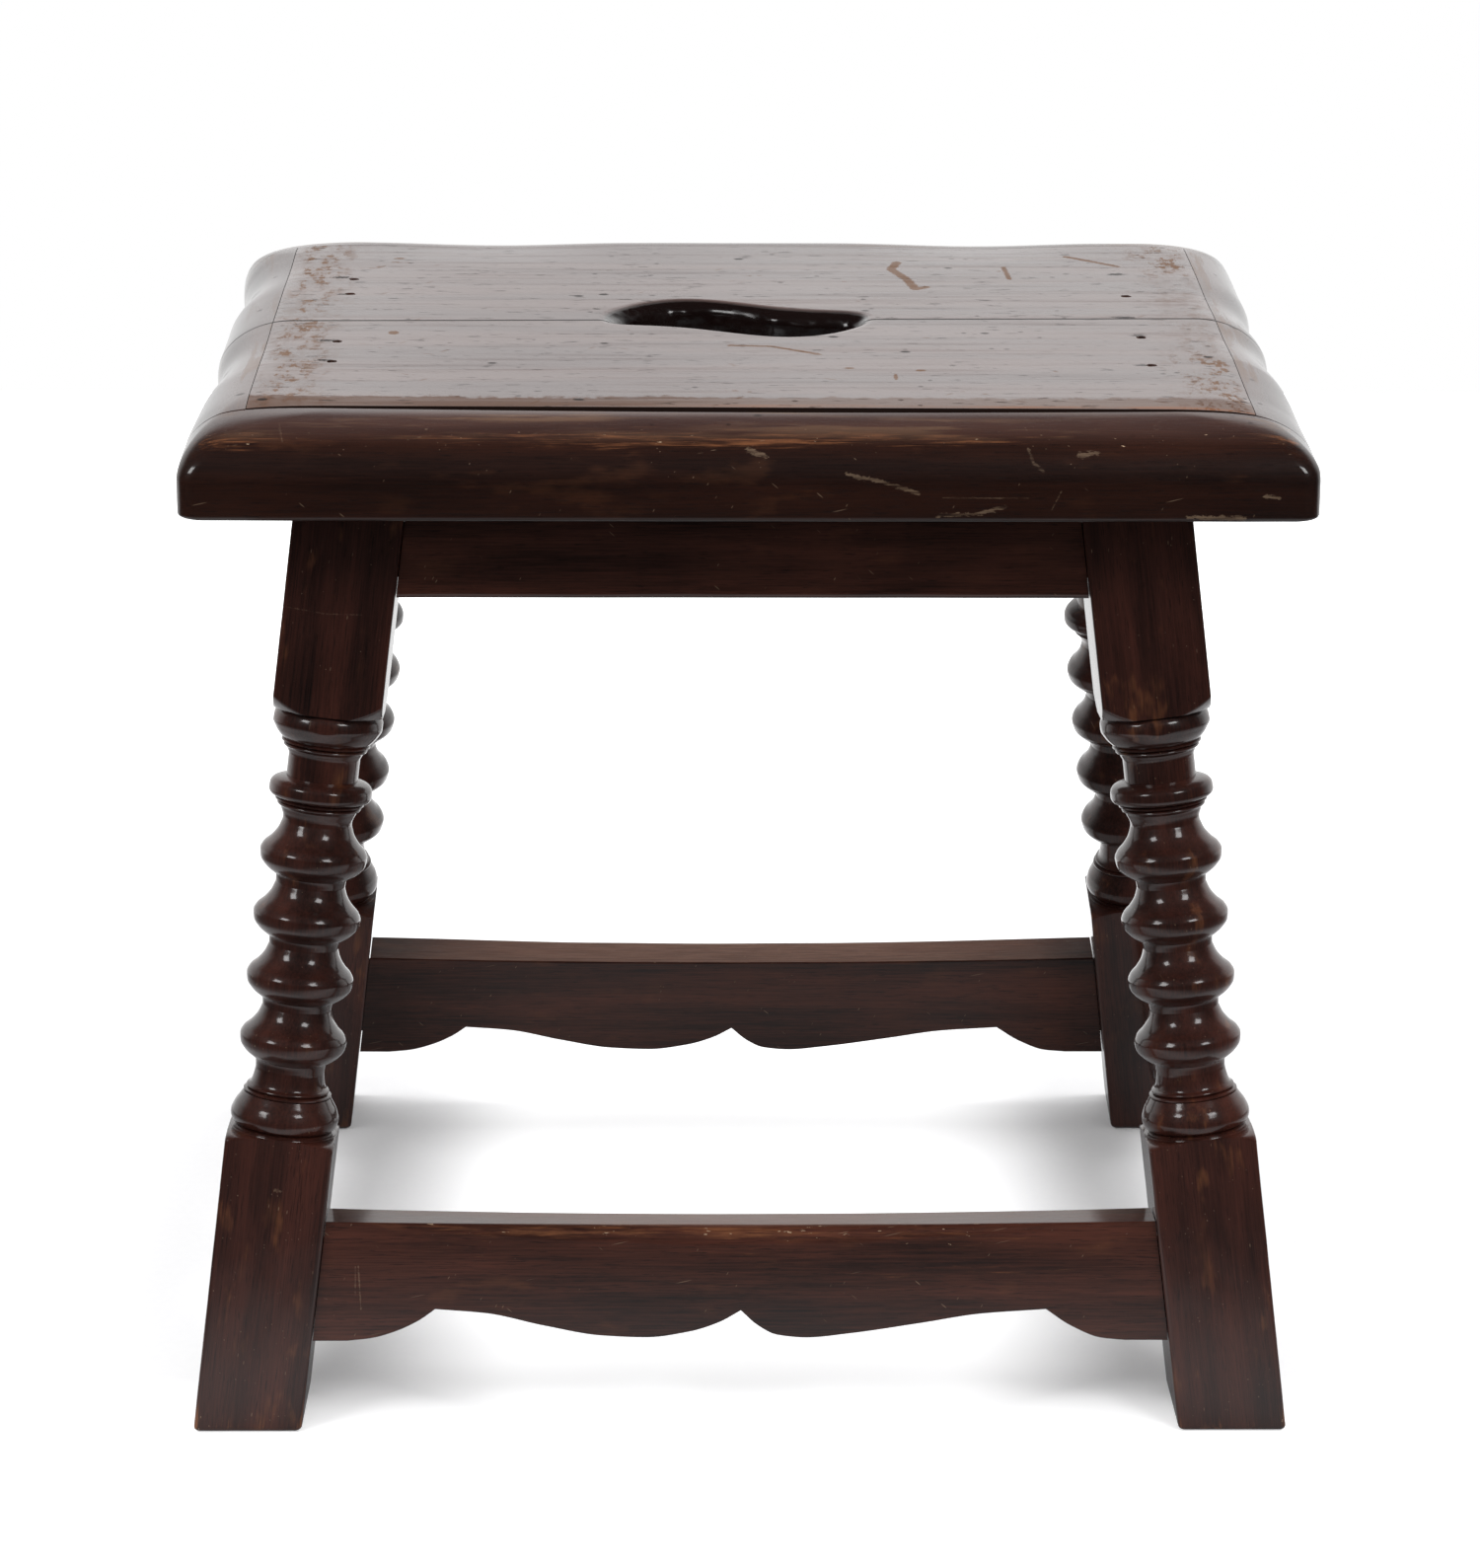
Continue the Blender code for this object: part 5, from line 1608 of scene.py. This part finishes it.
class STOOL_OT_nails(bpy.types.Operator):
    """Drive the nails that hold the seat"""

    bl_idname = "stool.nails"
    bl_label = "Nails"

    def execute(self, context):
        nails = context.scene.stool_nails
        spots = list(nail_places())
        mesh = bpy.data.meshes.new("nail_spots")
        mesh.from_pydata([(spot.x, spot.y, SEAT_TOP - nails.sunk) for _, spot in spots], [], [])
        tree, identifiers = nail_tree()
        values = {
            "Length": nails.length,
            "Head Radius": nails.head,
            "Head Height": nails.head_height,
            "Shank Radius": nails.shank,
            "Tip Radius": nails.tip,
            "Seed": 5,
            "Finish": finish_for("old_iron"),
        }
        driven = grown("driven_seat_nails", mesh, tree, identifiers, values)
        driven.data.shade_smooth()
        driven.data.set_sharp_from_angle(angle=math.radians(40))
        hand_piece(driven, "old_iron", *(name for name, _ in spots))
        return {"FINISHED"}


class STOOL_OT_tongues(bpy.types.Operator):
    """Give the loose tongues inside the seat their bare wood"""

    bl_idname = "stool.tongues"
    bl_label = "Loose tongues"

    def execute(self, context):
        wood = finish_for("tongue_wood")
        for name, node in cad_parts.items():
            if name.endswith("_tongue"):
                for material_slot in node.material_slots:
                    material_slot.material = wood
        return {"FINISHED"}


def paper_floor(studio):
    """A white sheet of paper that keeps the stool's shadow, with painted light under the stool's middle and
    just in front of it that lightens the shadow there.
    """
    material, graph = new_material("paper_floor")
    place = graph.place()
    tooth = graph.noise(place, (260, 260, 260), 2)
    tint = graph.blend(tooth.rise(0.3, 0.7) * 0.25, studio.floor, (0.90, 0.90, 0.90))
    matt = graph.add("ShaderNodeBsdfDiffuse", None, {"Color": tint})
    away = graph.vector("LENGTH", place, output=1)
    x, y, _ = graph.parts(place)
    far = away.rise(0.36, 0.80).most(away.rise(0.34, 0.26) * 0.25)
    mirrored = graph.blend(far, studio.bounce, (0.03, 0.03, 0.03))
    dim = graph.add("ShaderNodeBsdfDiffuse", None, {"Color": mirrored})
    behind = graph.blend(y.rise(0.15, 0.60), (0, 0, 0), (studio.backdrop,) * 3)
    behind = graph.add("ShaderNodeEmission", None, {"Color": behind})
    dim = graph.add("ShaderNodeAddShader", None, {0: dim, 1: behind})
    # Painted light: the floor under the stool's middle and just in front of it glows brighter, lightening the
    # shadow that falls there.
    middle = abs(x).rise(0.165, 0.085).most(y.rise(-0.13, -0.18)) * abs(y).rise(0.34, 0.24)
    near = studio.fill + middle * abs(x).rise(0.45, 0.30) * 0.36
    glow = graph.blend(away.rise(0.50, 1.10), graph.point(near, near, near), (1, 1, 1))
    glow = graph.add("ShaderNodeEmission", None, {"Color": glow, "Strength": 1.0})
    lit = graph.add("ShaderNodeAddShader", None, {0: matt, 1: glow})
    mixed = graph.add("ShaderNodeMixShader", None, {0: graph.seen(), 1: dim, 2: lit})
    graph.add("ShaderNodeOutputMaterial", None, {"Surface": mixed})
    return material


def studio_world(studio):
    """White where the camera looks; on gloss a white backdrop behind the stool and a dim room before it."""
    world = bpy.data.worlds.new("studio")
    world.use_nodes = True
    bpy.context.scene.world = world
    graph = Graph(world.node_tree)
    _, y, z = graph.parts(graph.add("ShaderNodeTexCoord"))
    light = graph.blend(y.rise(0.10, 0.65) * z.rise(0.62, 0.40), (studio.room,) * 3, (studio.backdrop,) * 3)
    rays = graph.add("ShaderNodeLightPath").socket.node
    sky = graph.blend(z.rise(-0.05, 0.05), (0, 0, 0), (studio.sky,) * 3)
    light = graph.blend(Term(graph, rays.outputs["Is Glossy Ray"]), sky, light)
    light = graph.blend(graph.seen(), light, (1, 1, 1))
    sky = graph.add("ShaderNodeBackground", None, {"Color": light, "Strength": 1.0})
    graph.add("ShaderNodeOutputWorld", None, {"Surface": sky})


def lamp(name, place, height, size, power, tall=None):
    """A soft lamp turned to a height over the stool's middle."""
    light = bpy.data.lights.new(name, "AREA")
    light.shape = "RECTANGLE"
    light.size = size
    light.size_y = tall or size
    light.energy = power
    obj = bpy.data.objects.new(name, light)
    obj.location = place
    obj.rotation_euler = (Vector((0, 0, height)) - Vector(place)).to_track_quat("-Z", "Y").to_euler()
    obj.visible_camera = False
    bpy.context.scene.collection.objects.link(obj)
    return obj


def fitted_camera(studio):
    """The camera that the photograph was taken with, worked out from the stool's straight lines."""
    pitch = 0.3236
    yaw = 0.01479
    roll = 0.00513
    place = (-0.02977, -2.09235, 0.92553)
    forward = Vector((math.sin(yaw) * math.cos(pitch), math.cos(yaw) * math.cos(pitch), -math.sin(pitch)))
    right = Vector((math.cos(yaw), -math.sin(yaw), 0))
    up = right.cross(forward)
    turned_right = right * math.cos(roll) + up * math.sin(roll)
    turned_up = up * math.cos(roll) - right * math.sin(roll)
    data = bpy.data.cameras.new("camera")
    data.sensor_fit = "HORIZONTAL"
    data.sensor_width = 36
    data.lens = studio.lens
    data.clip_start = 0.05
    camera = bpy.data.objects.new("camera", data)
    camera.matrix_world = own_axes(place, turned_right, turned_up, -forward)
    bpy.context.scene.collection.objects.link(camera)
    bpy.context.scene.camera = camera


class STOOL_OT_studio(bpy.types.Operator):
    """Set up the floor, the lamps, the world and the camera"""

    bl_idname = "stool.studio"
    bl_label = "Studio"

    def execute(self, context):
        studio = context.scene.stool_studio
        bm = bmesh.new()
        bmesh.ops.create_grid(bm, x_segments=16, y_segments=16, size=1.6)
        mesh = plain_mesh("paper_floor", bm)
        new_object("paper_floor", mesh, paper_floor(studio))
        studio_world(studio)
        lamp("lamp_front_left", (-1.55, -1.30, 1.70), 0.28, 0.64, studio.front_power)
        lamp("lamp_front_right", (1.20, -1.55, 1.75), 0.28, 0.64, studio.front_power)
        for side, name, part in ((-1, "lamp_left", 1), (1, "lamp_right", 1.08)):
            beside = lamp(name, (side * 1.38, 0.05, 2.05), 0.1, 0.6, studio.side_power * part, 1.3)
            beside.visible_glossy = False
        fitted_camera(studio)
        context.scene.view_settings.view_transform = "Standard"
        return {"FINISHED"}


OPERATORS = (
    STOOL_OT_legs,
    STOOL_OT_aprons,
    STOOL_OT_stretchers,
    STOOL_OT_seat,
    STOOL_OT_nails,
    STOOL_OT_tongues,
    STOOL_OT_studio,
)


class STOOL_PT_panel(bpy.types.Panel):
    """Lists the stool's pieces, its sizes and its finishes"""

    bl_idname = "STOOL_PT_panel"
    bl_label = "Joined Stool"
    bl_space_type = "VIEW_3D"
    bl_region_type = "UI"
    bl_category = "Stool"

    def draw(self, context):
        for operator in OPERATORS:
            self.layout.operator(operator.bl_idname)
        for key, group in SETTINGS.items():
            box = self.layout.box()
            for name in group.__annotations__:
                box.prop(getattr(context.scene, key), name)


def register():
    for group in (*SETTINGS.values(), *OPERATORS, STOOL_PT_panel):
        bpy.utils.register_class(group)
    for key, group in SETTINGS.items():
        setattr(bpy.types.Scene, key, bpy.props.PointerProperty(type=group))


def unregister():
    for key in SETTINGS:
        delattr(bpy.types.Scene, key)
    for group in reversed((*SETTINGS.values(), *OPERATORS, STOOL_PT_panel)):
        bpy.utils.unregister_class(group)


def main():
    register()
    bpy.ops.stool.legs()
    bpy.ops.stool.aprons()
    bpy.ops.stool.stretchers()
    bpy.ops.stool.seat()
    bpy.ops.stool.nails()
    bpy.ops.stool.tongues()
    bpy.ops.stool.studio()


if __name__ == "__main__":
    main()
